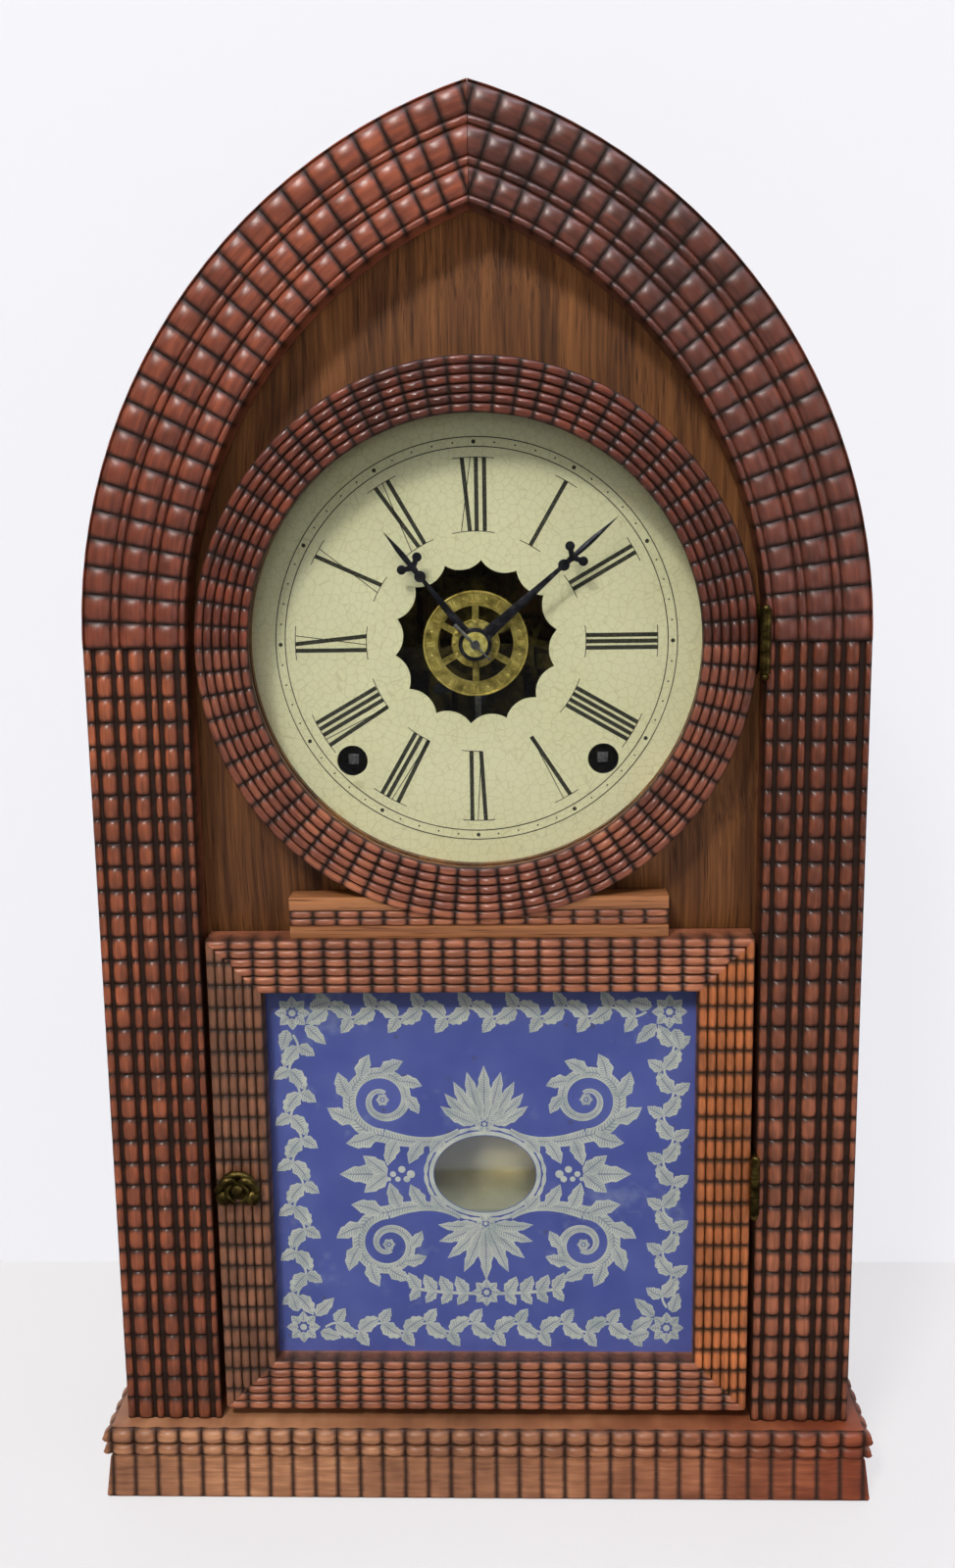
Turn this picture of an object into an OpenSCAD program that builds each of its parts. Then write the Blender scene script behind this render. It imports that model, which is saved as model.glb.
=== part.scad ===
// Shelf clock with a pointed gothic arch case, rippled mouldings, one round and square door,
// and an eight day spring driven time and strike movement. Millimetres, Z up, front faces -Y.
// Y = 0 is the plane of the highest crests of the columns and the arch.

/* [Case] */
// half width across the two columns
half_w = 130.5; // [125:0.5:136]
// width of a column and of the arch moulding
mould_w = 34.5; // [30:0.5:38]
// height where the arch starts
spring_z = 308; // [300:1:316]
// distance of the arc centres from the middle line
arc_off = 52.5; // [45:0.5:60]
// height of the base
base_h = 27; // [24:0.5:30]
// back face of the case
case_back = 94; // [85:1:105]
// ripple pitch along the columns and round the foot
ripple = 8.2; // [6:0.1:10]

/* [Door] */
// gap between the door and the columns
door_gap = 1.8; // [1.2:0.1:3]
// bottom of the door
door_z0 = 31.2; // [28:0.1:34]
// top of the square part of the door
door_z1 = 207.5; // [200:0.5:212]
// width of the door rails
rail_w = 19; // [16:0.5:22]
// width of the round rippled bezel
bezel_w = 18.1; // [16:0.1:20]

/* [Dial] */
// how far the round door frame stands above the square one
ring_lift = 6.5; // [4:0.5:9]
// how far the painted dial sheet reaches behind the bezel
dial_lap = 10.6; // [8:0.2:12]
// sideways distance of the winding arbors
wind_x = 43.5; // [40:0.5:46]
// how far the winding arbors lie below the dial centre
wind_drop = 40.5; // [38:0.5:42]

/* [Hands] */
// length of the minute hand from the centre
minute_len = 63.6; // [60:0.1:67]
// length of the hour hand from the centre
hour_len = 48.4; // [45:0.1:52]
// minute hand, degrees clockwise from twelve
minute_at = 48.9; // [0:0.1:359]
// hour hand, degrees clockwise from twelve
hour_at = -38.8; // [-180:0.1:180]

/* [Hidden] */
$fn = 0;
$fa = 4;
$fs = 0.5;

col_in = half_w - mould_w;
door_hw = col_in - door_gap;
ring_ro = door_hw - 0.7;
ring_ri = ring_ro - bezel_w;
dial_r = ring_ri + dial_lap;
dial_z = door_z1 + ring_lift + ring_ro;
wind_z = dial_z - wind_drop;
plate_x = wind_x + 24.5;
bridge_x = door_hw - 29.2;
arc_ro = half_w + arc_off;
arc_ri = arc_ro - mould_w;
shell_x = half_w - 4.5;
shell_in = shell_x - 12;
panel_y = 17;
dial_y = 20;
mid_z = (door_z0 + door_z1) / 2;
axis_x = door_hw + 0.8;
axis_y = -2.2;
core_w = half_w - 10.5;
base_back = case_back + 4;

// train centres, x and z
T1 = [wind_x, wind_z];
CA = [0, dial_z];
function two(p, q, a, b, s) = let (d = norm(q - p), x = (a * a - b * b + d * d) / (2 * d),
  h = sqrt(a * a - x * x), u = (q - p) / d) [p[0] + x * u[0] - s * h * u[1],
  p[1] + x * u[1] + s * h * u[0]];
T2 = two(T1, CA, 34.5, 37.5, -1);
ES = [12, dial_z - 28.5];
T3 = two(T2, ES, 21.75, 18.9, -1);
S1 = [-wind_x, wind_z];
S2 = [-T2[0], T2[1]];
FL = [-8.5, dial_z + 16.5];
S3 = two(S2, FL, 21.75, 18.9, 1);
MW = [0, dial_z + 19.8];
VG = [0, dial_z - 23.5];
HM = [-20, wind_z - 27];
HP = dial_z - 17.5;
GC = [24, dial_z - 167.5];
bob_z = mid_z - 15.95;
catch_p = [8.7 - door_hw, mid_z - 0.85];
gong_y = case_back - 10.4;
plate_f = 46;
plate_b = 76;

// Turns drawings made in x, y into the upright plane, thickness running back along Y.
module up(y, t) {
  translate([0, y + t, 0]) rotate([90, 0, 0]) linear_extrude(height = t) children();
}
module rod(p, y0, y1, r) {
  translate([p[0], y1, p[1]]) rotate([90, 0, 0]) cylinder(r = r, h = y1 - y0);
}
module bar(x0, y0, z0, x1, y1, z1) {
  translate([x0, y0, z0]) cube([x1 - x0, y1 - y0, z1 - z0]);
}
function pol(r, a) = [r * cos(a), r * sin(a)];

// Case outline with half width w, foot height z0 and arc radius r, in x, z.
module gothic(w, z0, r) {
  translate([-w, z0]) square([2 * w, spring_z - z0]);
  intersection() {
    translate([-arc_off, spring_z]) circle(r = r);
    translate([arc_off, spring_z]) circle(r = r);
    translate([-w, spring_z]) square([2 * w, r]);
  }
}

// Rippled strip: beads running along Z, cut across by vee grooves at the ripple pitch.
// beads is a list of [middle, half width, crest depth], floor is the depth between beads.
module bead_profile(w, floor, back, beads) {
  translate([0, floor]) square([w, back - floor]);
  intersection() {
    translate([0, -1]) square([w, back + 1]);
    union() {
      for (b = beads) {
        s = floor - b[2];
        r = (b[1] * b[1] + s * s) / (2 * s);
        translate([b[0], b[2] + r]) circle(r = r);
      }
    }
  }
}
module vee(w, y0, gw, gd) {
  rotate([90, 0, 90]) linear_extrude(height = w)
    polygon([[y0 - 1, -gw / 2 - gw / gd / 2], [y0 + gd, 0], [y0 - 1, gw / 2 + gw / gd / 2]]);
}
col_beads = [for (b = [[1.6, 1.5, 0.7], [6.65, 2.7, 0.1], [12.05, 1.5, 0.6],
  [17.7, 2.8, 0], [23.25, 1.25, 0.6], [28.2, 2.4, 0.2], [33.1, 1.3, 0.8]])
  [b[0] * mould_w / 34.5, b[1] * mould_w / 34.5, b[2]]];
module column() {
  n = round((spring_z - base_h) / ripple);
  p = (spring_z - base_h) / n;
  difference() {
    linear_extrude(height = spring_z - base_h) bead_profile(mould_w, 2.4, 14, col_beads);
    for (i = [0 : n]) translate([-1, 0, i * p]) vee(mould_w + 2, 0, 3.4, 1.9);
  }
}
rail_beads = [for (i = [0 : 5]) [(i + 0.5) * rail_w / 6, rail_w / 13, (i == 0 || i == 5) ? 0.7 : 0.2]];
// A door rail along Z from 0 to len with mitred ends; the ripples stop at its outer side x = 0.
module rail(len) {
  n = round((len - rail_w) / 8.1);
  p = (len - rail_w) / n;
  intersection() {
    difference() {
      linear_extrude(height = len) bead_profile(rail_w, 1.8, 14, rail_beads);
      for (i = [-2 : n + 2]) translate([-1, 0, rail_w / 2 + i * p]) vee(rail_w + 2, 0.2, 2.8, 1.5);
      bar(rail_w - 1.8, 7, rail_w - 1.8, rail_w + 1, 15, len - rail_w + 1.8);
    }
    up(-2, 20) polygon([[0, 0], [rail_w, rail_w], [rail_w, len - rail_w], [0, len]]);
  }
}

// Curved rippled moulding as one closed skin swept about (cx, cz): stations run through
// crest, crest, groove for each ripple. prof is a list of [radius, depth, dip in a groove].
module ring_sweep(cx, cz, a0, a1, n, prof) {
  m = len(prof);
  st = [for (i = [0 : n - 1]) for (k = [[0, 1], [0.26, 0], [0.74, 0]])
    [a0 + (a1 - a0) * (i + k[0]) / n, k[1]]];
  sta = concat(st, [[a1, 1]]);
  q = len(sta);
  pts = [for (s = sta) for (p = prof)
    [cx + p[0] * cos(s[0]), p[1] + p[2] * s[1], cz + p[0] * sin(s[0])]];
  side = [for (i = [0 : q - 2]) for (j = [0 : m - 1]) for (h = [0, 1])
    let (a = i * m + j, b = i * m + (j + 1) % m)
    h == 0 ? [a, b, b + m] : [a, b + m, a + m]];
  cap0 = [[for (j = [0 : m - 1]) m - 1 - j]];
  cap1 = [[for (j = [0 : m - 1]) (q - 1) * m + j]];
  polyhedron(points = pts, faces = concat(side, cap0, cap1));
}
// Profiles run from the inner radius over the front to the outer radius, then the back.
arch_prof = concat([[arc_ri, 14, 0], [arc_ri, 2.2, 0.6]],
  [for (p = [[1.2, 0.9, 1.2], [2.4, 2.3, 0.4], [4.2, 0.2, 1.8], [8.2, 0.2, 1.8], [10, 2.4, 0.3],
    [11.5, 0.9, 1.2], [12.95, 2.4, 0.3], [15, 0, 1.9], [19.5, 0, 1.9], [21.55, 2.4, 0.3],
    [23, 0.9, 1.2], [24.5, 2.4, 0.3], [26.4, 0.2, 1.8], [30.8, 0.2, 1.8], [32.75, 2.3, 0.4],
    [33.6, 1, 1]]) [arc_ri + p[0] * mould_w / 34.5, p[1], p[2]]],
  [[arc_ro, 2.4, 0.5], [arc_ro, 14, 0]]);
module arch_half(s) {
  difference() {
    ring_sweep(-s * arc_off, spring_z, s > 0 ? 0 : 180, s > 0 ? 75 : 105, 26, arch_prof);
    if (s > 0) bar(-arc_ro, -5, spring_z, 0, 20, spring_z + arc_ro);
    if (s < 0) bar(0, -5, spring_z, arc_ro, 20, spring_z + arc_ro);
  }
}
bez_prof = concat([[ring_ri, 5.5, 0], [ring_ri, 2.8, 0.3]],
  [for (p = [[1.2, 2.0, 0.8], [3.0, 3.2, 0.2], [4.5, 1.7, 1.2], [6.0, 3.0, 0.2], [7.5, 1.5, 1.4],
    [9.05, 3.0, 0.2], [10.6, 1.5, 1.4], [12.1, 3.0, 0.2], [13.6, 1.7, 1.2], [15.1, 3.2, 0.2],
    [16.7, 2.0, 0.8]]) [ring_ri + p[0] * bezel_w / 18.1, p[1], p[2]]],
  [[ring_ro, 2.9, 0.3], [ring_ro, 5.5, 0]]);
module bezel_quarter(a) {
  ring_sweep(0, dial_z, a, a + 90, 18, bez_prof);
}

// Tooth outlines: w root half width, t tip half width, both as parts of the pitch.
function gear_pts(n, m, ph = 0) = [for (i = [0 : n - 1]) for (k = [0 : 3])
  let (r = n * m / 2, p = 180 * m, rr = r - 1.2 * m, rt = r + 0.85 * m,
    q = (k == 0 || k == 3) ? rr : rt, w = (k == 0 || k == 3) ? 0.23 : 0.08,
    s = k < 2 ? -1 : 1)
  pol(q, ph + 360 * i / n + s * w * p / q)];
// A crossed out wheel in x, z with its arms; teeth start in the direction ph.
module wheel2d(p, n, m, ph, bore, arms = 4) {
  r = n * m / 2;
  ri = r - 1.2 * m - max(1.6, r * 0.09);
  translate(p) difference() {
    polygon(gear_pts(n, m, ph));
    if (arms > 0) difference() {
      circle(r = ri);
      circle(r = max(bore + 2.2, r * 0.2));
      for (i = [0 : arms - 1]) rotate(i * 360 / arms + 20)
        translate([0, -r * 0.05 - 0.4]) square([r, r * 0.1 + 0.8]);
    }
    circle(r = bore);
  }
}
// Lantern pinion of n rods between two caps; a gap faces the direction ph.
module lantern(p, n, m, ph, y0, y1, ar) {
  r = n * m / 2;
  for (i = [0 : n - 1]) {
    q = pol(r, ph + 180 / n + 360 * i / n);
    rod([p[0] + q[0], p[1] + q[1]], y0 - 0.8, y1 + 0.8, 0.42 * m);
  }
  for (y = [y0 - 0.8, y1]) rod(p, y, y + 0.8, r + 0.9 * m);
  rod(p, y0 - 0.8, y1 + 0.8, ar);
}
function ang(a, b) = atan2(b[1] - a[1], b[0] - a[0]);

// Base. The front moulding is one length, the sides are mitred to it. Two rippled beads
// stand over a fluted fascia that flares to the floor.
lip = 18.3;
module base_profile() {
  polygon([[-12, 0], [lip - 14, 0], [lip - 12.7, 1.3], [lip - 14.4, base_h - 10.7],
    [lip - 14.9, base_h - 10.2], [lip - 14.9, base_h], [-12, base_h]]);
  translate([lip - 14.2, base_h - 8.3]) circle(r = 2.1);
  translate([lip - 14.75, base_h - 3.15]) circle(r = 2.75);
}
module base_strip(len) {
  n = floor(len / 2 / ripple);
  difference() {
    rotate([90, 0, 90]) translate([0, 0, -len / 2]) linear_extrude(height = len)
      mirror([1, 0]) base_profile();
    for (i = [-n : n]) translate([(i + 0.5) * ripple, 0, 0]) {
      translate([0, 0, base_h - 11]) linear_extrude(height = 12)
        polygon([[-2, -6.6], [0, -4.6], [2, -6.6]]);
      translate([0, -5.7, 0]) rotate([-6.4, 0, 0]) translate([0, 0, -1])
        linear_extrude(height = base_h - 9.6) polygon([[-2, -1], [0, 0.8], [2, -1]]);
    }
  }
}
module base_front() {
  color("saddlebrown") intersection() {
    base_strip(2 * core_w + 50);
    linear_extrude(height = base_h + 3)
      polygon([[-core_w - 20, -8], [-core_w, 12], [core_w, 12], [core_w + 20, -8]]);
  }
}
module base_sides() {
  color("saddlebrown") for (s = [-1, 1]) intersection() {
    translate([s * (core_w + 12), base_back / 2 - 3, 0]) rotate([0, 0, s * 90])
      base_strip(base_back + 32);
    linear_extrude(height = base_h + 3)
      polygon([[s * (core_w + 20), -8], [s * core_w, 12], [s * core_w, base_back],
        [s * (core_w + 20), base_back]]);
  }
}
module base_board() {
  color("sienna") bar(-core_w, 12, 2, core_w, base_back, base_h);
}

// Case. Each shell half is a straight side running on into the bent top.
module shell(s) {
  up(panel_y, case_back - panel_y) intersection() {
    difference() {
      gothic(shell_x, base_h, shell_x + arc_off);
      gothic(shell_in, base_h - 1, shell_in + arc_off);
    }
    translate([s > 0 ? 0 : -half_w, 0]) square([half_w, spring_z + arc_ro]);
  }
}
module case_shell_left() { color("chocolate") shell(-1); }
module case_shell_right() { color("chocolate") shell(1); }
module case_front() {
  color("sienna") up(14, 3) difference() {
    gothic(shell_x, base_h, shell_x + arc_off);
    gothic(col_in + 1.5, base_h + 9, col_in + 1.5 + arc_off);
  }
}
module back_board() {
  color("tan") up(case_back, 3) gothic(shell_x, base_h, shell_x + arc_off);
}
module column_left() {
  color("brown") translate([-half_w, 0, base_h]) column();
}
module column_right() {
  color("brown") translate([half_w - mould_w, 0, base_h]) column();
}
module arch_left() { color("brown") arch_half(-1); }
module arch_right() { color("brown") arch_half(1); }

// Veneered panel round the dial, and the painted sheet dial with its scalloped centre.
module dial_panel() {
  color("peru") up(panel_y, 3) difference() {
    gothic(shell_in, door_z1 - 2.5, shell_in + arc_off);
    translate([0, dial_z]) circle(r = dial_r - 9);
  }
}
module dial() {
  color("lightyellow") up(dial_y, 0.6) difference() {
    translate([0, dial_z]) circle(r = dial_r);
    for (s = [-1, 1]) translate([s * wind_x, wind_z]) circle(r = 5.3);
    translate([0, dial_z]) difference() {
      circle(r = 28.1);
      for (i = [0 : 13]) rotate(i * 360 / 14 + 98.5) translate([34.5, 0]) circle(r = 9.5);
    }
  }
}

// Hinges. The pin belongs to the case leaves; one knuckle of three is the door's.
hz = [[298, 319], [109, 129.4]];
module hinge_leaves_case() {
  color("darkgoldenrod") union() {
    for (h = hz) case_leaf(h[0], h[1], (h[1] - h[0]) / 3);
    for (h = hz) {
      translate([axis_x, axis_y, h[0] - 1.2]) cylinder(r = 0.9, h = h[1] - h[0] + 2.4);
      for (z = [h[0], h[1] - (h[1] - h[0]) / 3]) translate([axis_x, axis_y, z])
        cylinder(r = 1.7, h = (h[1] - h[0]) / 3 - 0.15);
      for (z = [h[0] - 1.2, h[1]]) translate([axis_x, axis_y, z]) sphere(r = 1.3);
    }
  }
}
// The leaf lies on the column's inner edge and is thinner where the arch bends over it.
module case_leaf(a, b, k) {
  x0 = col_in - 0.65;
  for (z = [a, b - k]) bar(x0, axis_y, z, col_in, -0.1, z + k - 0.15);
  bar(x0, -0.15, a, col_in, 12, min(b - 0.15, spring_z));
  if (b > spring_z) bar(x0, -0.15, spring_z - 0.1, x0 + 0.22, 12, b - 0.15);
}
module hinge_leaves_door() {
  color("goldenrod") for (h = hz) {
    a = h[0];
    b = h[1];
    k = (b - a) / 3;
    difference() {
      union() {
        translate([axis_x, axis_y, a + k + 0.15]) cylinder(r = 1.7, h = k - 0.45);
        bar(door_hw, axis_y, a + k + 0.15, door_hw + 0.6, 2, b - k - 0.3);
      }
      translate([axis_x, axis_y, a]) cylinder(r = 0.95, h = b - a);
    }
    bar(door_hw, -0.1, a, door_hw + 0.6, 12, b - 0.15);
  }
  color("goldenrod") up(7, 5) difference() {
    translate([door_hw - 4.2, hz[0][0] - 1]) square([4.2, 23]);
    translate([0, dial_z]) circle(r = ring_ro - 1.5);
  }
}

// Door. Four mitred rails, a bridge block and the round frame are glued up as one leaf.
module door_stile_left() {
  color("maroon") difference() {
    translate([-door_hw, 0, door_z0]) rail(door_z1 - door_z0);
    rod(catch_p, -2, 16, 1.55);
  }
}
module door_stile_right() {
  color("maroon") translate([door_hw, 0, door_z0]) mirror([1, 0, 0]) rail(door_z1 - door_z0);
}
module door_rail_bottom() {
  color("maroon") translate([door_hw, 0, door_z0]) rotate([0, -90, 0])
    rail(2 * door_hw);
}
module door_rail_top() {
  color("maroon") translate([-door_hw, 0, door_z1]) rotate([0, 90, 0])
    rail(2 * door_hw);
}
module door_bridge() {
  n = round(2 * bridge_x / 8.1);
  p = 2 * bridge_x / n;
  color("firebrick") difference() {
    union() {
      bar(-bridge_x, 4.5, door_z1, bridge_x, 14, door_z1 + 14.5);
      bar(-bridge_x, 3.8, door_z1, bridge_x, 6, door_z1 + 4.3);
      bar(-bridge_x, 3.8, door_z1 + 9.8, bridge_x, 6, door_z1 + 14.5);
      intersection() {
        for (z = [5.7, 8.4]) translate([-bridge_x, 4.9, door_z1 + z]) rotate([0, 90, 0])
          cylinder(r = 1.35, h = 2 * bridge_x);
        bar(-bridge_x, 3, door_z1 + 4.3, bridge_x, 6, door_z1 + 9.8);
      }
    }
    for (i = [0 : n]) translate([-bridge_x + i * p, 0, door_z1 + 4.3]) linear_extrude(height = 5.5)
      polygon([[-1.2, 3], [0, 4.5], [1.2, 3]]);
    rod([0, dial_z], 0, 5.5, ring_ro);
    rod([0, dial_z], 5, 15, ring_ro - 1.5);
  }
}
module door_ring() {
  color("firebrick") difference() {
    rod([0, dial_z], 5.5, 16.5, ring_ro - 1.5);
    rod([0, dial_z], 5, 8.5, ring_ri + 3.6);
    rod([0, dial_z], 5, 18, ring_ri + 2.1);
  }
}
module bezel_upper_right() { color("brown") bezel_quarter(0); }
module bezel_upper_left() { color("brown") bezel_quarter(90); }
module bezel_lower_left() { color("brown") bezel_quarter(180); }
module bezel_lower_right() { color("brown") bezel_quarter(270); }
module bezel_glass() {
  color([0.8, 0.9, 0.9, 0.3]) rod([0, dial_z], 5.5, 7.3, ring_ri + 3.4);
}
module tablet_glass() {
  color([0.1, 0.2, 0.7, 0.8]) bar(rail_w - 1.8 - door_hw, 7, door_z0 + rail_w - 1.8,
    door_hw - rail_w + 1.8, 9, door_z1 - rail_w + 1.8);
}
// Turn catch: a cast knob of four lobes, a spindle through the stile and a tongue behind.
module door_catch() {
  q = catch_p;
  color("gold") {
    rod(q, -1.2, 0.1, 5);
    rod(q, -3.4, 17, 1.5);
    translate([q[0], -4.2, q[1]]) sphere(r = 2.9);
    for (s = [-1, 1]) {
      for (t = [-1, 1]) translate([q[0] + s * 4.6, -3.4, q[1] + t * 3.6]) sphere(r = 2.5);
      translate([q[0] + s * 6, -3.2, q[1]]) sphere(r = 2.1);
    }
    rod(q, -4.6, -2.4, 5.2);
    bar(q[0] - 1.5, 14.3, q[1] - 3, q[0] + 1.5, 17.4, q[1] + 3);
    bar(q[0] - 3, 17.4, q[1] - 3, q[0] + 3, 18.4, q[1] + 17);
  }
}

// Hands. Each has a tapered shaft, one round boss, two side lobes and a fine point.
module hand2d(len, cross, hub, bore, w) {
  difference() {
    union() {
      circle(r = hub);
      polygon([[-w, 0], [-w * 0.36, cross - 4], [w * 0.36, cross - 4], [w, 0]]);
      polygon([[-0.8, cross - 5], [-0.3, len], [0.3, len], [0.8, cross - 5]]);
      translate([0, cross - 4.2]) circle(r = 2.1);
      for (s = [-1, 1]) translate([s * 3.6, cross + 1]) circle(r = 1.5);
      polygon([[-3.4, cross + 0.3], [-3.4, cross + 1.6], [0, cross - 0.4], [3.4, cross + 1.6],
        [3.4, cross + 0.3], [0, cross - 2.2]]);
    }
    circle(r = bore);
  }
}
module minute_hand() {
  color("midnightblue") translate([0, 0, dial_z]) rotate([0, minute_at, 0])
    up(11, 0.8) hand2d(minute_len, minute_len - 20.3, 5.6, 1.6, 2);
}
module hand_collet() {
  color("gold") difference() {
    union() {
      rod([0, dial_z], 10, 11, 4.2);
      rod([0, dial_z], 9.6, 10, 3.6);
    }
    rod([0, dial_z], 9, 12, 1.6);
  }
}
// Steel centre arbor with the tapered pin at its front end and the cannon pinion.
module centre_arbor() {
  color("silver") {
    rod([0, dial_z], 9.2, plate_f + 6, 1.6);
    translate([0, 8, dial_z]) rotate([0, 45, 0]) translate([-1.15, 0, -1.15]) cube([2.3, 1.3, 2.3]);
    translate([0, 8.9, dial_z]) rotate([0, 45, 0]) translate([-9.6, 0, 0])
      rotate([0, 90, 0]) cylinder(r1 = 0.65, r2 = 0.3, h = 16.8);
    up(plate_f - 5.5, 1.4) translate([0, dial_z]) rotate(90 + 15) polygon(gear_pts(12, 0.825));
    rod([0, dial_z], plate_f - 4.1, plate_f - 2.9, 2.6);
  }
}
module hour_hand() {
  color("midnightblue") translate([0, 0, dial_z]) rotate([0, hour_at, 0])
    up(13, 0.8) hand2d(hour_len, hour_len - 15.2, 5, 3.1, 2.2);
}
module hour_pipe() {
  color("gold") difference() {
    union() {
      rod([0, dial_z], 12.6, plate_f - 7.3, 3.1);
      rod([0, dial_z], 18.2, 20, 5);
      up(plate_f - 8.5, 1.2) wheel2d([0, dial_z], 40, 0.792, 90, 0, 4);
    }
    rod([0, dial_z], 12, plate_f - 6, 1.66);
  }
}
module alarm_disc() {
  color("khaki") translate([0, 0, 0]) difference() {
    union() {
      up(15.4, 1.2) translate([0, dial_z]) difference() {
        circle(r = 17.9);
        difference() {
          circle(r = 12.8);
          circle(r = 6);
          for (i = [0 : 5]) rotate(i * 60 + 30) translate([0, -1.1]) square([14, 2.2]);
        }
      }
      up(15, 0.4) translate([0, dial_z]) difference() {
        circle(r = 13.6);
        circle(r = 12.8);
      }
      rod([0, dial_z], 14.3, 18.1, 4.6);
    }
    rod([0, dial_z], 14, 19, 3.15);
  }
}
module minute_wheel() {
  color("gold") {
    up(plate_f - 5.5, 1.2) wheel2d(MW, 36, 0.825, -90, 0, 4);
    up(plate_f - 8.8, 3.3) translate(MW) rotate(-90 + 18) polygon(gear_pts(10, 0.792));
    rod(MW, plate_f - 9.6, plate_f, 0.9);
  }
}
module centre_wheel() {
  color("gold") difference() {
    union() {
      up(plate_f - 2.6, 1.2) wheel2d([0, dial_z], 35, 1, ang([0, dial_z], T2) + 180 / 35, 0, 5);
      rod([0, dial_z], plate_f - 2.7, plate_f - 0.2, 3.6);
    }
    rod([0, dial_z], plate_f - 4, plate_f + 1, 1.65);
  }
}

// Going train, from the right hand great wheel to the escape wheel in front of the plate.
module great_wheel(s) {
  p = s > 0 ? T1 : S1;
  q = s > 0 ? T2 : S2;
  up(plate_b - 6, 2) wheel2d(p, 84, 0.75, ang(p, q), 0, 5);
  rod(p, 30, plate_b + 2, 2.6);
  translate([p[0] - 1.7, 24, p[1] - 1.7]) cube([3.4, 6, 3.4]);
  up(plate_b - 9.2, 2) translate(p) polygon([for (i = [0 : 15]) for (k = [0, 1])
    pol(k == 0 ? 11 : 8.8, i * 22.5 + k * 2)]);
  rod(p, plate_b - 9.4, plate_b - 6, 5);
}
module great_wheel_time() { color("gold") great_wheel(1); }
module great_wheel_strike() {
  color("gold") {
    great_wheel(-1);
    up(plate_b + 3.5, 1) wheel2d(S1, 90, 0.6, 0, 0, 6);
    rod(S1, plate_b + 1, plate_b + 4.5, 2);
  }
}
module second_wheel_time() {
  color("gold") {
    lantern(T2, 8, 0.75, ang(T2, T1), plate_b - 7.4, plate_b - 3, 1.5);
    up(plate_b - 12, 1.2) wheel2d(T2, 80, 0.5, ang(T2, T3), 0, 5);
    up(plate_f - 2.6, 1.2) wheel2d(T2, 40, 1, ang(T2, [0, dial_z]), 0, 5);
    rod(T2, plate_f - 2.8, plate_b + 2, 1.5);
  }
}
module third_wheel_time() {
  color("gold") {
    lantern(T3, 7, 0.5, ang(T3, T2), plate_b - 13.4, plate_b - 9.4, 0.9);
    up(plate_b - 18, 1.2) wheel2d(T3, 84, 0.42, ang(T3, ES), 0, 4);
    rod(T3, plate_f - 0.5, plate_b + 2, 1);
  }
}
module escape_wheel() {
  color("gold") {
    lantern(ES, 6, 0.42, ang(ES, T3), plate_b - 19.6, plate_b - 15.2, 0.7);
    rod(ES, plate_f - 7.6, plate_b + 2, 0.8);
    rod(ES, plate_f - 7.4, plate_f - 5, 1.8);
    up(plate_f - 7, 1.2) translate(ES) difference() {
      polygon([for (i = [0 : 29]) for (k = [0 : 2])
        pol(k == 1 ? 9.5 : 7.9, i * 12 + (k == 0 ? 0 : k == 1 ? 1.5 : 5))]);
      difference() {
        circle(r = 6.6);
        circle(r = 2.4);
        for (i = [0 : 3]) rotate(i * 90) translate([0, -0.6]) square([7, 1.2]);
      }
    }
  }
}
// Verge: a bent strip with two pallets over the escape wheel, and the crutch wire.
module verge() {
  color("silver") {
    rod(VG, plate_f - 8.4, plate_f - 3.8, 1.5);
    rod(VG, plate_f - 4, plate_f - 3.1, 0.75);
    up(plate_f - 6.8, 1) translate(ES) rotate(ang(ES, VG) - 90) translate([0, norm(VG - ES) - 13])
      polygon([[0, 14.4], [7.9, 11.9], [9, 7.3], [7.7, 7.9], [6.9, 10.6], [0, 11.8],
        [-6.9, 10.6], [-7.7, 7.9], [-9, 7.3], [-7.9, 11.9]]);
    rod(VG, plate_f - 8.9, plate_f - 8.3, 1.2);
    bar(-0.5, plate_f - 8.9, VG[1] - 22, 0.5, plate_f - 8.4, VG[1]);
    for (s = [-1, 1]) bar(s * 1.4 - 0.4, plate_f - 11.6, VG[1] - 22.8, s * 1.4 + 0.4, plate_f - 8.4, VG[1] - 22);
    bar(-1.8, plate_f - 8.9, VG[1] - 22.8, 1.8, plate_f - 8.4, VG[1] - 22);
  }
}
module suspension_post() {
  color("silver") {
    rod([-14, HP], plate_f - 12.4, plate_f, 1.6);
    difference() {
      bar(-14, plate_f - 12, HP - 1, 1.6, plate_f - 9, HP + 1.4);
      bar(-1.2, plate_f - 10.07, HP - 2, 1.2, plate_f - 9.93, HP);
    }
    difference() {
      rod(VG, plate_f - 3.5, plate_f, 1.5);
      rod(VG, plate_f - 4, plate_f - 3, 0.8);
    }
  }
}
module pendulum_rod() {
  color("silver") {
    bar(-1.1, plate_f - 10.05, HP - 18, 1.1, plate_f - 9.95, HP - 0.05);
    rod([0, HP - 18.6], plate_f - 10.9, plate_f - 9.1, 1.2);
    translate([0, plate_f - 10, bob_z - 30]) cylinder(r = 0.75, h = HP - 18.6 - bob_z + 30);
    translate([0, plate_f - 10, bob_z - 25.4]) cylinder(r = 2.4, h = 2.4, $fn = 8);
  }
}
module pendulum_bob() {
  color("gold") difference() {
    translate([0, plate_f - 10, bob_z]) rotate([90, 0, 0]) rotate_extrude()
      polygon([[0, -5], [9, -4.6], [16, -3.2], [20.5, -1.6], [23, -0.5], [23, 0.5],
        [20.5, 1.6], [16, 3.2], [9, 4.6], [0, 5]]);
    translate([0, plate_f - 10, bob_z - 30]) cylinder(r = 0.75, h = 60);
  }
}

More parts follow.
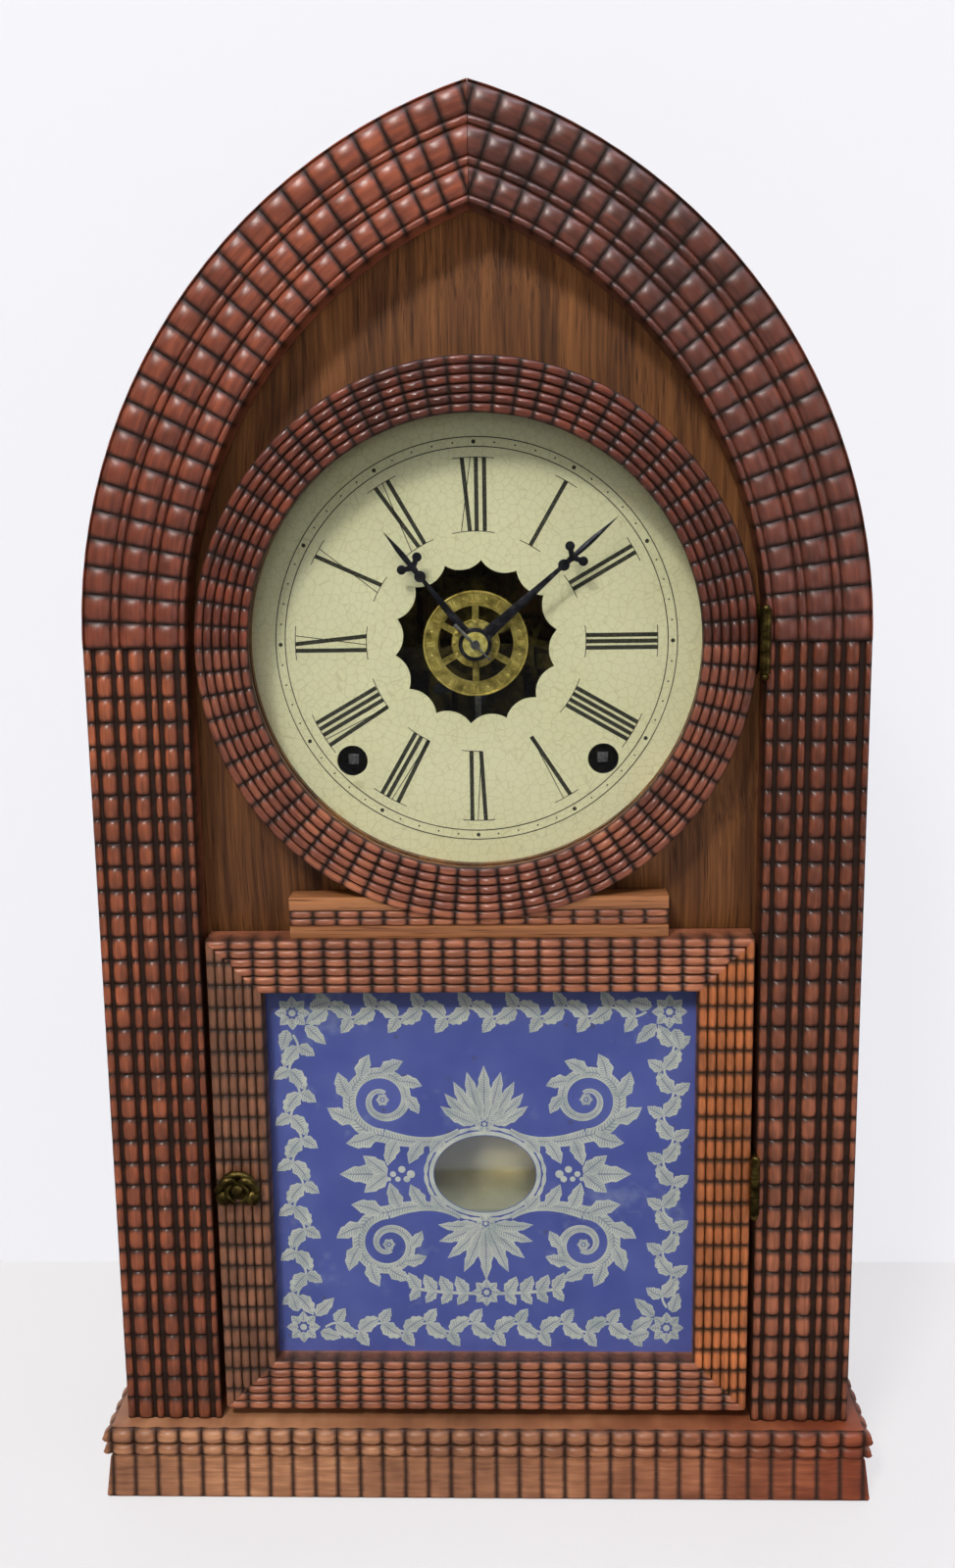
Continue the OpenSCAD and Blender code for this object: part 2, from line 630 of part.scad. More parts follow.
// Strike train, hammer and wire gong.
module second_wheel_strike() {
  color("gold") {
    lantern(S2, 8, 0.75, ang(S2, S1), plate_b - 7.4, plate_b - 3, 1.5);
    up(plate_b - 12, 1.2) wheel2d(S2, 80, 0.5, ang(S2, S3), 0, 5);
    rod(S2, plate_f - 0.5, plate_b + 2, 1.5);
  }
}
module third_wheel_strike() {
  color("gold") {
    lantern(S3, 7, 0.5, ang(S3, S2), plate_b - 13.4, plate_b - 9.4, 0.9);
    up(plate_b - 18, 1.2) wheel2d(S3, 84, 0.42, ang(S3, FL), 0, 4);
    rod(S3, plate_f - 0.5, plate_b + 2, 1);
    for (i = [0 : 7]) {
      q = pol(16.3, i * 45);
      rod([S3[0] + q[0], S3[1] + q[1]], plate_b - 19.6, plate_b - 18, 0.6);
    }
  }
}
module fly() {
  color("gold") {
    lantern(FL, 6, 0.42, ang(FL, S3), plate_b - 19.6, plate_b - 15.2, 0.7);
    rod(FL, plate_f - 0.5, plate_b + 2, 0.8);
    rod(FL, plate_b - 13, plate_b - 4, 1.6);
    bar(FL[0] - 8.5, plate_b - 12.6, FL[1] - 0.25, FL[0] + 8.5, plate_b - 4.4, FL[1] + 0.25);
  }
}
module hammer() {
  color("silver") {
    rod(HM, plate_f - 0.5, gong_y + 2.8, 1.2);
    bar(HM[0] - 0.9, gong_y + 0.4, GC[1] + 26, HM[0] + 0.9, gong_y + 2.2, HM[1]);
    bar(HM[0] - 0.9, plate_b - 16, HM[1], HM[0] + 0.9, plate_b - 14.6, HM[1] + 12);
    translate([HM[0] + 7, gong_y + 1.3, GC[1] + 22.5]) rotate([0, -90, 0]) cylinder(r = 4.5, h = 14);
  }
}
module gong_base() {
  color("dimgray") {
    rod(GC, case_back - 14, case_back, 7);
    rod(GC, case_back - 18, case_back - 14, 3);
  }
}
// Flat coil of square wire, five turns, from the boss outwards.
function spiral_pts(c, r0, r1, turns, w, seg) = concat(
  [for (i = [0 : turns * seg]) let (r = r0 + (r1 - r0) * i / (turns * seg))
    [c[0] + (r + w / 2) * cos(i * 360 / seg), c[1] + (r + w / 2) * sin(i * 360 / seg)]],
  [for (j = [0 : turns * seg]) let (i = turns * seg - j, r = r0 + (r1 - r0) * i / (turns * seg))
    [c[0] + (r - w / 2) * cos(i * 360 / seg), c[1] + (r - w / 2) * sin(i * 360 / seg)]]);
module gong() {
  color("slategray") {
    up(gong_y, 2.4) polygon(spiral_pts(GC, 8.2, 43, 5, 2.4, 24));
  }
}
module mainspring_time() {
  color("steelblue") up(plate_f + 1.6, 9.8) polygon(spiral_pts(T1, 3.3, 25.5, 9, 0.7, 16));
}
module mainspring_strike() {
  color("steelblue") up(plate_f + 1.6, 9.8) polygon(spiral_pts(S1, 3.3, 25.5, 9, 0.7, 16));
}

// Movement frame: two pierced brass plates on four long pillars screwed to the back board.
corner = [for (x = [6 - plate_x, plate_x - 6]) for (z = [wind_z - 31, dial_z + 30.5]) [x, z]];
module plate2d() {
  difference() {
    union() {
      difference() {
        translate([-plate_x, wind_z - 37]) square([2 * plate_x, wind_drop + 73.5]);
        translate([10 - plate_x, wind_z - 27]) square([2 * plate_x - 20, wind_drop + 53.5]);
      }
      translate([-7.5, wind_z - 34.5]) square([15, wind_drop + 69.5]);
      translate([2 - plate_x, wind_z - 5]) square([2 * plate_x - 4, 11]);
      translate([4 - plate_x, T2[1] - 5]) square([2 * plate_x - 8, 9]);
      translate([S3[0] - 5, T2[1]]) square([10, 40]);
      translate([-12, FL[1] - 5]) square([14, 10]);
      translate([5, ES[1] - 5]) square([11, 27]);
      translate([HM[0] - 4, HM[1] - 5]) square([18, 10]);
      translate([-18, HP - 18]) square([8, 28]);
      for (q = [T1, S1]) translate(q) circle(r = 9);
    }
    for (q = corner) translate(q) circle(r = 2.2);
  }
}
module front_plate() {
  color("goldenrod") difference() {
    union() {
      up(plate_f, 1.6) plate2d();
      rod([0, dial_z], plate_f, plate_f + 7, 4);
    }
    for (q = [T1, S1]) rod(q, plate_f - 6, plate_f + 14, 2.65);
    rod(T2, plate_f - 6, plate_f + 14, 1.55);
    rod(S2, plate_f - 6, plate_f + 14, 1.55);
    for (q = [T3, S3]) rod(q, plate_f - 6, plate_f + 14, 1.05);
    rod(ES, plate_f - 6, plate_f + 14, 0.85);
    rod(FL, plate_f - 6, plate_f + 14, 0.85);
    rod(HM, plate_f - 6, plate_f + 14, 1.25);
    rod([0, dial_z], plate_f - 6, plate_f + 14, 1.65);
    rod(MW, plate_f - 6, plate_f + 14, 0.95);
  }
}
module back_plate() {
  color("goldenrod") difference() {
    up(plate_b, 1.6) plate2d();
    for (q = [T1, S1]) rod(q, plate_b - 6, plate_b + 4, 2.65);
    rod(T2, plate_b - 6, plate_b + 4, 1.55);
    rod(S2, plate_b - 6, plate_b + 4, 1.55);
    for (q = [T3, S3]) rod(q, plate_b - 6, plate_b + 4, 1.05);
    rod(ES, plate_b - 6, plate_b + 4, 0.85);
    rod(FL, plate_b - 6, plate_b + 4, 0.85);
    rod(HM, plate_b - 6, plate_b + 4, 1.25);
  }
}
module pillars() {
  color("silver") for (q = corner) {
    rod(q, plate_f + 1.6, plate_b, 3);
    rod(q, plate_b + 1.6, case_back, 3.4);
    rod(q, plate_f - 2, plate_b + 2, 2.2);
    rod(q, plate_f - 2.6, plate_f, 3.4);
  }
}

base_front();
base_sides();
base_board();
case_shell_left();
case_shell_right();
case_front();
back_board();
column_left();
column_right();
arch_left();
arch_right();
dial_panel();
dial();
hinge_leaves_case();
front_plate();
back_plate();
pillars();
mainspring_time();
mainspring_strike();
suspension_post();
gong_base();
gong();
door_stile_left();
door_stile_right();
door_rail_top();
door_rail_bottom();
door_bridge();
door_ring();
bezel_upper_right();
bezel_upper_left();
bezel_lower_left();
bezel_lower_right();
bezel_glass();
tablet_glass();
hinge_leaves_door();
door_catch();
minute_hand();
hand_collet();
centre_arbor();
hour_hand();
hour_pipe();
alarm_disc();
minute_wheel();
centre_wheel();
great_wheel_time();
second_wheel_time();
third_wheel_time();
escape_wheel();
great_wheel_strike();
second_wheel_strike();
third_wheel_strike();
fly();
hammer();
verge();
pendulum_rod();
pendulum_bob();
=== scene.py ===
"""A gothic arched shelf clock with rippled mouldings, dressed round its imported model."""
import math

import bmesh
import bpy
from mathutils import Matrix, Vector


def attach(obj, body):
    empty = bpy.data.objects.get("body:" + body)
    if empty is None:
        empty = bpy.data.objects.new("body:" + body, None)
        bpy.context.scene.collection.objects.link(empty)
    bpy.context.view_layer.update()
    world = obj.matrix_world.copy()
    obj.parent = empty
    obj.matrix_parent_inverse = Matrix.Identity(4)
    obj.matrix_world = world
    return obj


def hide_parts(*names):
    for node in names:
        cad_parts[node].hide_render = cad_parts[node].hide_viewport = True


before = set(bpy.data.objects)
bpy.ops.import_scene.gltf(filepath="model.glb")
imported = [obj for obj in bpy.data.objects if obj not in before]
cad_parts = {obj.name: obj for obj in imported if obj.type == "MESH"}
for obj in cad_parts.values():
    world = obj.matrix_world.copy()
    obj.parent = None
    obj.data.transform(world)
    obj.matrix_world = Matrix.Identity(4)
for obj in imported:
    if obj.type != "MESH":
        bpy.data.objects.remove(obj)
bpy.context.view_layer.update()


# Studio: a pale floor, a white wall close behind the clock, a lamp at the upper left, a soft
# one overhead and weak fill from the right and the front. The camera stands where the
# photographer's stood.
scene = bpy.context.scene
scene.view_settings.view_transform = "Standard"


def colour(text):
    """An sRGB hex colour as linear red, green, blue and alpha."""
    parts = [int(text[i:i + 2], 16) / 255 for i in (1, 3, 5)]
    return [c / 12.92 if c <= 0.04045 else ((c + 0.055) / 1.055) ** 2.4 for c in parts] + [1.0]


def add(tree, kind, settings=None, links=None):
    """Adds a shader node: lower case settings are its own, the rest are sockets by name or
    number."""
    new = tree.nodes.new("ShaderNode" + kind)
    for key, value in (settings or {}).items():
        if key == "stops":
            ramp = new.color_ramp
            while len(ramp.elements) < len(value):
                ramp.elements.new(0.5)
            for stop, (place, shade) in zip(ramp.elements, value):
                stop.position, stop.color = place, colour(shade)
        elif isinstance(key, str) and key[0].islower():
            setattr(new, key, value)
        else:
            shade = isinstance(value, str) and value.startswith("#")
            new.inputs[key].default_value = colour(value) if shade else value
    for key, source in (links or {}).items():
        tree.links.new(source.outputs[0] if hasattr(source, "outputs") else source, new.inputs[key])
    return new


def material(name):
    """A new material and its empty node tree."""
    new = bpy.data.materials.new(name)
    new.use_nodes = True
    new.node_tree.nodes.clear()
    return new, new.node_tree


# the surround is white to the eye and through glass, weak as fill, and in gloss dark below
world = bpy.data.worlds.new("white_surround")
scene.world = world
world.use_nodes = True
tree = world.node_tree
tree.nodes.clear()
rays = add(tree, "LightPath")
_, back, up = add(tree, "SeparateXYZ", None, {0: add(tree, "TexCoord").outputs["Generated"]}).outputs
lift = add(tree, "Math", {"operation": "MULTIPLY_ADD", 1: 0.9, 2: 0.32}, {0: up})
bright = add(tree, "Math", {"operation": "MULTIPLY_ADD", 1: 0.45, "use_clamp": True}, {0: back, 2: lift})
mirrored = add(tree, "Background", {"Strength": 0.7}, {
    "Color": add(tree, "ValToRGB", {"stops": [(0.0, "#2e2b29"), (1.0, "#f3f3f8")]}, {0: bright})})
fill = add(tree, "Background", {"Color": "#fbf8f6", "Strength": 0.1})
plain = add(tree, "Background", {"Color": "#f6f6fa", "Strength": 1.0})
looked = add(tree, "Math", {"operation": "MAXIMUM"}, {
    0: rays.outputs["Is Camera Ray"], 1: rays.outputs["Is Transmission Ray"]})
shown = add(tree, "MixShader", None, {0: looked, 1: fill, 2: plain})
# a ray that left a pane after a reflection inside it counts as mirrored too
within = add(tree, "Math", {"operation": "MINIMUM"}, {
    0: rays.outputs["Glossy Depth"], 1: rays.outputs["Is Transmission Ray"]})
thrown = add(tree, "Math", {"operation": "MAXIMUM"}, {0: rays.outputs["Is Glossy Ray"], 1: within})
add(tree, "OutputWorld", None, {"Surface": add(
    tree, "MixShader", None, {0: thrown, 1: shown, 2: mirrored})})

# White paper and white paint, both matt, which mostly glow to the eye so that they stay white.
# The floor is darker in gloss, and from behind the wall isn't seen at all.
WALL_Y, REACH = 0.168, 4
floor_paint, tree = material("matt_white_paper_floor")
speck = add(tree, "TexNoise", {"Scale": 9.0, "Detail": 3.0}, {
    "Vector": add(tree, "TexCoord").outputs["Object"]})
shade = add(tree, "ValToRGB", {"stops": [(0.3, "#f2f2f3"), (0.7, "#f8f8f9")]}, {0: speck})
mirror_view = add(tree, "LightPath").outputs["Is Glossy Ray"]
shade = add(tree, "Mix", {"data_type": "RGBA", 7: "#5a5a5e"}, {0: mirror_view, 6: shade})
paper = add(tree, "BsdfPrincipled", {"Roughness": 0.55}, {"Base Color": shade.outputs[2]})
glow = add(tree, "Emission", {"Color": "#f6f4f5", "Strength": 1.0})
looked = add(tree, "Math", {"operation": "MULTIPLY", 1: 0.7}, {
    0: add(tree, "LightPath").outputs["Is Camera Ray"]})
add(tree, "OutputMaterial", None, {"Surface": add(
    tree, "MixShader", None, {0: looked, 1: paper, 2: glow})})
wall_paint, tree = material("white_wall_seen_from_the_front")
rays = add(tree, "LightPath")
chalk = add(tree, "BsdfDiffuse", {"Color": "#efeff2"})
glow = add(tree, "Emission", {"Color": "#f8f8fd", "Strength": 1.01})
looked = add(tree, "Math", {"operation": "MULTIPLY", 1: 0.78}, {0: rays.outputs["Is Camera Ray"]})
front = add(tree, "MixShader", None, {0: looked, 1: chalk, 2: glow})
behind = add(tree, "NewGeometry").outputs["Backfacing"]
add(tree, "OutputMaterial", None, {"Surface": add(tree, "MixShader", None, {
    0: behind, 1: front, 2: add(tree, "BsdfTransparent")})})
for name, paint, corners in (
        ("floor", floor_paint, [(-1, -REACH, 0), (1, -REACH, 0), (1, REACH, 0), (-1, REACH, 0)]),
        ("wall", wall_paint, [(-1, WALL_Y, 0), (1, WALL_Y, 0), (1, WALL_Y, REACH), (-1, WALL_Y, REACH)])):
    bm = bmesh.new()
    bm.faces.new([bm.verts.new((side * REACH, y, z)) for side, y, z in corners])
    mesh = bpy.data.meshes.new(name)
    bm.to_mesh(mesh)
    bm.free()
    mesh.materials.append(paint)
    sheet = bpy.data.objects.new(name, mesh)
    scene.collection.objects.link(sheet)


def hang(lamp, power, tint, place, aim, mirrored=True):
    """Hangs a lamp at a place, turned to what it lights, and seen in gloss and glass or not."""
    lamp.energy, lamp.color = power, colour(tint)[:3]
    holder = bpy.data.objects.new(lamp.name, lamp)
    holder.location = place
    holder.rotation_euler = (Vector(aim) - Vector(place)).to_track_quat("-Z", "Y").to_euler()
    holder.visible_glossy = holder.visible_transmission = mirrored
    scene.collection.objects.link(holder)


for name, place, aim, size, power, tint in (
        ("upper_left_lamp", (-0.5, -1.25, 1.55), (0, 0, 0.24), (0.3, 0.3), 17.0, "#fffaf4"),
        ("overhead_softbox", (0.15, -0.45, 1.55), (0, 0.02, 0.3), (1.3, 0.5), 6.9, "#ebeaff"),
        ("right_bounce", (1.5, -1.3, 0.5), (0, 0, 0.25), (1.2, 1.2), 3.6, "#ffffff"),
        ("fill_beside_the_camera", (-0.05, -1.3, 0.4), (0, 0, 0.2), (0.4, 0.4), 2.1, "#fffdf8")):
    lamp = bpy.data.lights.new(name, "AREA")
    lamp.shape = "RECTANGLE"
    lamp.size, lamp.size_y = size
    hang(lamp, power, tint, place, aim, "fill" not in name)

# a slim beam through the clear oval, which shows as a bright patch on the bob
beam = bpy.data.lights.new("slim_beam_on_the_bob", "SPOT")
beam.shadow_soft_size, beam.spot_size, beam.spot_blend = 0.004, math.radians(1.5), 0.9
hang(beam, 36.0, "#fff6e0", (-0.09, -0.9, 0.26), (0.005, 0, 0.121), False)

# where the camera stands, in metres, how it is turned, in degrees, its focal length in the
# pixels of a frame 1600 high, and that frame's height on the sensor, in millimetres
CAMERA_PLACE, CAMERA_TURN = (0.01489, -0.47564, 0.34419), (-1.739, 9.829, -0.778)
FOCAL_PIXELS, FRAME_HIGH, SENSOR = 1473.9, 1600, 36
yaw, pitch, roll = (math.radians(a) for a in CAMERA_TURN)
ahead = Vector((math.sin(yaw) * math.cos(pitch), math.cos(yaw) * math.cos(pitch), -math.sin(pitch)))
right = Vector((math.cos(yaw), -math.sin(yaw), 0))
down = ahead.cross(right)
right, down = (right * math.cos(roll) - down * math.sin(roll),
               right * math.sin(roll) + down * math.cos(roll))
lens = bpy.data.cameras.new("camera")
lens.lens = SENSOR * FOCAL_PIXELS / FRAME_HIGH
lens.clip_start = 0.01
camera = bpy.data.objects.new("camera", lens)
camera.matrix_world = Matrix([[right[i], -down[i], -ahead[i], CAMERA_PLACE[i]] for i in range(3)]
                             + [[0, 0, 0, 1]])
scene.collection.objects.link(camera)
scene.camera = camera


# Case: two bent side boards, a front board and the panel round the dial, in mahogany veneer
# finished with shellac, on a pine base board and closed by a pine back board.

# half the case's width, the height where its sides begin to bend, how far the bends' centres
# lie past the middle, and the side boards' outer radius, in millimetres
HALF, SPRING, ARC_OFF = 130.5, 308.0, 52.5
SHELL = HALF + ARC_OFF - 4.5


def dress(finish, *names):
    """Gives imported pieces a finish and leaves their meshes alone."""
    for name in names:
        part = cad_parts[name]
        if not part.material_slots:
            part.data.materials.append(finish)
        for slot in part.material_slots:
            slot.material = finish


def round_the_arch(tree):
    """A place as (0, depth, distance up the side and on round the arch), so that grain that
    runs up a bent board follows the bend."""
    place = add(tree, "TexCoord").outputs["Object"]
    x, y, z = add(tree, "SeparateXYZ", None, {0: place}).outputs
    out = add(tree, "Math", {"operation": "ADD", 1: ARC_OFF * 0.001}, {
        0: add(tree, "Math", {"operation": "ABSOLUTE"}, {0: x})})
    above = add(tree, "Math", {"operation": "SUBTRACT", 1: SPRING * 0.001}, {0: z})
    up = add(tree, "Math", {"operation": "MAXIMUM", 1: 0.0}, {0: above})
    below = add(tree, "Math", {"operation": "MINIMUM", 1: 0.0}, {0: above})
    turned = add(tree, "Math", {"operation": "ARCTAN2"}, {0: up, 1: out})
    along = add(tree, "Math", {"operation": "MULTIPLY_ADD", 1: SHELL * 0.001}, {0: turned, 2: below})
    return add(tree, "CombineXYZ", None, {1: y, 2: along}).outputs[0]


def sawn_wood(name, pale, middle, dark, gloss, grain=(650, 650, 14), bent_board=False):
    """Flat sawn wood: long streaks up the board, short dark pores, and a clear or worn finish."""
    new, tree = material(name)
    place = round_the_arch(tree) if bent_board else add(tree, "TexCoord").outputs["Object"]
    warp = add(tree, "TexNoise", {"Scale": 7.0, "Detail": 2.0}, {"Vector": place})
    bent = add(tree, "VectorMath", {"operation": "MULTIPLY_ADD", 1: (0.012, 0.012, 0.0)},
               {0: warp.outputs["Color"], 2: place})
    fine, broad, pores = (
        add(tree, "TexNoise", {"Scale": 1.0, "Detail": detail, "Roughness": roughness}, {
            "Vector": add(tree, "Mapping", {"Scale": tuple(g * times for g in grain)}, {"Vector": bent})})
        for times, detail, roughness in ((1, 5.0, 0.6), (1 / 7, 3.0, 0.5), (3.2, 2.0, 0.5)))
    both = add(tree, "Math", {"operation": "MULTIPLY_ADD", 1: 0.45}, {
        0: fine, 2: add(tree, "Math", {"operation": "MULTIPLY", 1: 0.55}, {0: broad})})
    body = add(tree, "ValToRGB", {"stops": [(0.36, dark), (0.5, middle), (0.64, pale)]}, {0: both})
    specks = add(tree, "ValToRGB", {"stops": [(0.56, "#ffffff"), (0.68, "#7d6a60")]}, {0: pores})
    shade = add(tree, "Mix", {"data_type": "RGBA", "blend_type": "MULTIPLY", 0: 0.7},
                {6: body, 7: specks})
    rise = add(tree, "Bump", {"Strength": 0.12, "Distance": 0.0002}, {"Height": pores})
    skin = add(tree, "BsdfPrincipled", {
        "Roughness": 0.52, "Specular IOR Level": 0.35, "Coat Weight": gloss, "Coat Roughness": 0.24},
               {"Base Color": shade.outputs[2], "Normal": rise})
    add(tree, "OutputMaterial", None, {"Surface": skin})
    return new


# Mahogany veneer under old shellac: mid brown streaks, small dark pores, a low satin gloss.
veneer = sawn_wood("shellacked_mahogany_veneer", "#946034", "#6f4523", "#402411", 0.08)
side_veneer = sawn_wood("shellacked_mahogany_side_veneer", "#7c502d", "#5d391e", "#3a2010", 0.25,
                        bent_board=True)
# Pine left bare and darkened by a century of dust: dull, yellow brown, hardly any gloss.
pine = sawn_wood("bare_aged_pine", "#a3814f", "#8a683c", "#654826", 0.0, (300, 300, 9))
dress(side_veneer, "case_shell_left", "case_shell_right")
dress(veneer, "case_front", "dial_panel")
dress(pine, "back_board", "base_board")


# Columns: rippled rosewood mouldings, seven beads run up the length while the work was rocked
# under the cutter, so each bead is a row of pillows. Glued to the front of the case.
def rosewood(name, crest, body, dark, groove="#25150c", shift=0.0, gloss=0.7, haze=0.24, drift=None):
    """Rippled rosewood: the crests are rubbed clean, the hollows are dark with old wax and dust
    and with painted shade, and the shellac on top is glossy. It follows the moulding by the
    attributes run and relief, and drift (axis, from, to, shade) tints it more and more along the board."""
    new, tree = material(name)
    run = add(tree, "Attribute", {"attribute_name": "run"}).outputs["Vector"]
    relief = add(tree, "Attribute", {"attribute_name": "relief"}).outputs["Fac"]
    place = add(tree, "TexCoord").outputs["Object"]
    streak = add(tree, "TexNoise", {"Scale": 1.0, "Detail": 4.0, "Roughness": 0.62}, {
        "Vector": add(tree, "Mapping", {"Scale": (45, 620, 45), "Location": (shift, shift, 0)},
                      {"Vector": run})})
    patch = add(tree, "TexNoise", {"Scale": 13.0, "Detail": 3.0, "Roughness": 0.55}, {
        "Vector": add(tree, "Mapping", {"Location": (shift, 0, shift)}, {"Vector": place})})
    cell = add(tree, "TexNoise", {"Scale": 105.0, "Detail": 1.0}, {"Vector": place})
    mixed = add(tree, "Math", {"operation": "MULTIPLY_ADD", 1: 0.42}, {
        0: patch, 2: add(tree, "Math", {"operation": "MULTIPLY_ADD", 1: 0.38}, {
            0: streak, 2: add(tree, "Math", {"operation": "MULTIPLY", 1: 0.2}, {0: cell})})})
    wood = add(tree, "ValToRGB", {"stops": [(0.34, dark), (0.5, body), (0.64, crest)]}, {0: mixed})
    if drift:
        spot = add(tree, "SeparateXYZ", None, {0: place}).outputs[drift[0]]
        part = add(tree, "MapRange", {"From Min": drift[1], "From Max": drift[2]}, {"Value": spot})
        wood = add(tree, "Mix", {"data_type": "RGBA", "blend_type": "MULTIPLY", 7: drift[3]}, {
            0: part, 6: wood}).outputs[2]
    # a fine noise frays the edge of the dark hollows, both the dirt and the painted shade
    dirt_and_shade_noise = add(tree, "TexNoise", {"Scale": 420.0, "Detail": 3.0}, {"Vector": place})
    edge = add(tree, "Math", {"operation": "MULTIPLY_ADD", 1: 0.34, 2: -0.17}, {0: dirt_and_shade_noise})
    depth = add(tree, "Math", {"operation": "ADD", "use_clamp": True}, {0: relief, 1: edge})
    # low relief fades to the groove colour: old wax and dust, and painted shade in the hollows
    keep = add(tree, "ValToRGB", {"stops": [(0.12, "#000000"), (0.36, "#7c7c7c"), (0.7, "#ffffff")]},
               {0: depth})
    shade = add(tree, "Mix", {"data_type": "RGBA", 6: groove}, {0: keep, 7: wood})
    dull = add(tree, "MapRange", {"To Min": 0.75, "To Max": 0.36}, {"Value": depth})
    rise = add(tree, "Bump", {"Strength": 0.18, "Distance": 0.0002}, {"Height": streak})
    coat = add(tree, "MapRange", {"To Min": 0.1 * gloss, "To Max": gloss}, {"Value": depth})
    skin = add(tree, "BsdfPrincipled", {"Specular IOR Level": 0.3, "Coat Roughness": haze}, {
        "Base Color": shade.outputs[2], "Roughness": dull, "Normal": rise, "Coat Weight": coat})
    add(tree, "OutputMaterial", None, {"Surface": skin})
    return new


# one ripple from groove to groove: how far along it each ring of vertices is, and its height;
# then one bead from edge to edge: how far across it each line is, and its roundness
RIPPLE = [(0.0, 0.0), (0.07, 0.36), (0.18, 0.68), (0.33, 0.92), (0.5, 1.0), (0.67, 0.92),
          (0.82, 0.68), (0.93, 0.36)]
BEAD = [(-1.0, 0.0), (-0.86, 0.5), (-0.52, 0.84), (0.0, 1.0), (0.52, 0.84), (0.86, 0.5), (1.0, 0.0)]


def ripples(start, pitch, count):
    """Stations (place, height) along a moulding of count ripples."""
    return [(start + (i + f) * pitch, h) for i in range(count) for f, h in RIPPLE] + [
        (start + count * pitch, 0.0)]


def beads(runs, floor):
    """Section points (across, floor depth, height, roundness) of beads (from, to, crest). A
    roundness above one marks a plain flat."""
    points = []
    for low, high, crest in runs:
        for q, h in BEAD:
            x = (low + high) / 2 + q * (high - low) / 2
            if not points or x > points[-1][0] + 1e-6:
                points.append((x, floor, floor - crest, h))
    return points


def moulding(name, finish, body, stands_for, stations, section, put, back, cuts=(), low=0.3, reach=1.0,
             seam=0.8):
    """A rippled moulding: a grid is bent into beads and ripples by put(along, across, depth), a
    place in millimetres, its rim drawn straight back to the glued face, and its ends cut by the
    mitre planes. A step of one along it is reach millimetres long, and seam says how dark the
    painted shade in the lines between beads is."""
    bm = bmesh.new()
    relief = bm.verts.layers.float.new("relief")
    run = bm.verts.layers.float_vector.new("run")
    rows, points = len(stations) - 1, len(section) - 1
    bmesh.ops.create_grid(bm, x_segments=rows, y_segments=points, size=0.5)
    for v in bm.verts:
        s, h = stations[round((v.co.x + 0.5) * rows)]
        x, floor, high, q = section[round((v.co.y + 0.5) * points)]
        # relief is low in the grooves between ripples and beads: old wax, and painted shade there
        v[relief] = 0.85 if q > 1 else (0.08 + 0.92 * h) * (1 - seam + seam * q)
        v.co = Vector(put(s, x, floor - high * q * (low + (1 - low) * h))) * 0.001
        v[run] = (s * reach * 0.001, x * 0.001, 0)
    rim = [e for e in bm.edges if e.is_boundary]
    drawn = bmesh.ops.extrude_edge_only(bm, edges=rim)["geom"]
    axis, value = back
    for v in [g for g in drawn if isinstance(g, bmesh.types.BMVert)]:
        v.co[axis] = value * 0.001
        v[relief] = 0.75
    bmesh.ops.edgeloop_fill(bm, edges=[e for e in bm.edges if e.is_boundary])
    for spot, outward in cuts:
        everything = bm.verts[:] + bm.edges[:] + bm.faces[:]
        bmesh.ops.bisect_plane(bm, geom=everything, dist=1e-7, plane_co=Vector(spot) * 0.001,
                               plane_no=outward, clear_outer=True)
        bmesh.ops.edgeloop_fill(bm, edges=[e for e in bm.edges if e.is_boundary])
    finished(name, bm, finish, body, stands_for, 38)


def finished(name, bm, finish, body, stands_for=(), sharp=30):
    """Turns the faces outwards, makes the object, and says what it rides on and stands for."""
    bmesh.ops.recalc_face_normals(bm, faces=bm.faces)
    mesh = bpy.data.meshes.new(name)
    bm.to_mesh(mesh)
    bm.free()
    mesh.shade_smooth()
    mesh.set_sharp_from_angle(angle=math.radians(sharp))
    mesh.materials.append(finish)
    piece = bpy.data.objects.new(name, mesh)
    scene.collection.objects.link(piece)
    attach(piece, body)
    if stands_for:
        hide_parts(*stands_for)


# the column's width and the height of the foot that it stands on
MOULD, BASE = 34.5, 27.0
rosewood_left = rosewood("shellacked_rosewood_left_column", "#b96641", "#87492f", "#4c2b1f")
rosewood_right = rosewood("shellacked_rosewood_right_column", "#c07350", "#8c5238", "#503224", shift=3.1,
                          drift=(2, 0.1, 0.26, "#c4b4b0"))
# bead edges across the column, from its outer side, and how far each crest lies back
column_beads = beads([(0.0, 2.9, 0.7), (4.0, 9.3, 0.1), (10.7, 13.4, 0.6), (15.0, 20.4, 0.0),
                      (22.1, 24.4, 0.6), (25.8, 30.5, 0.2), (32.2, 34.5, 0.8)], 2.4)
for side, finish in ((-1, rosewood_left), (1, rosewood_right)):
    name = "column_left" if side < 0 else "column_right"
    outer = -HALF if side < 0 else HALF - MOULD
    moulding("rippled_" + name, finish, "case", [name], ripples(BASE, (SPRING - BASE) / 34, 34),
             column_beads, lambda s, x, y: (outer + x, y, s), (1, 14))


# Arches: the same moulding bent over the top in two halves, with wider beads and a thin lip
# outside. The halves meet in a plain upright mitre at the point.
ARC_RO = HALF + ARC_OFF
rosewood_arch_left = rosewood("shellacked_rosewood_left_arch", "#ab5a3b", "#80402b", "#4c271c",
                              shift=1.3, gloss=1.0, haze=0.34)
rosewood_arch_right = rosewood("shellacked_rosewood_right_arch", "#8f4c38", "#6a392b", "#3d231c",
                               shift=5.2, gloss=1.0, haze=0.34)
arch_beads = beads([(0.0, 0.7, 1.1), (0.7, 9.7, 0.1), (9.9, 12.5, 0.7), (12.7, 21.3, 0.0),
                    (21.5, 24.1, 0.7), (24.3, 32.3, 0.2), (32.4, 34.5, 0.8)], 2.2)


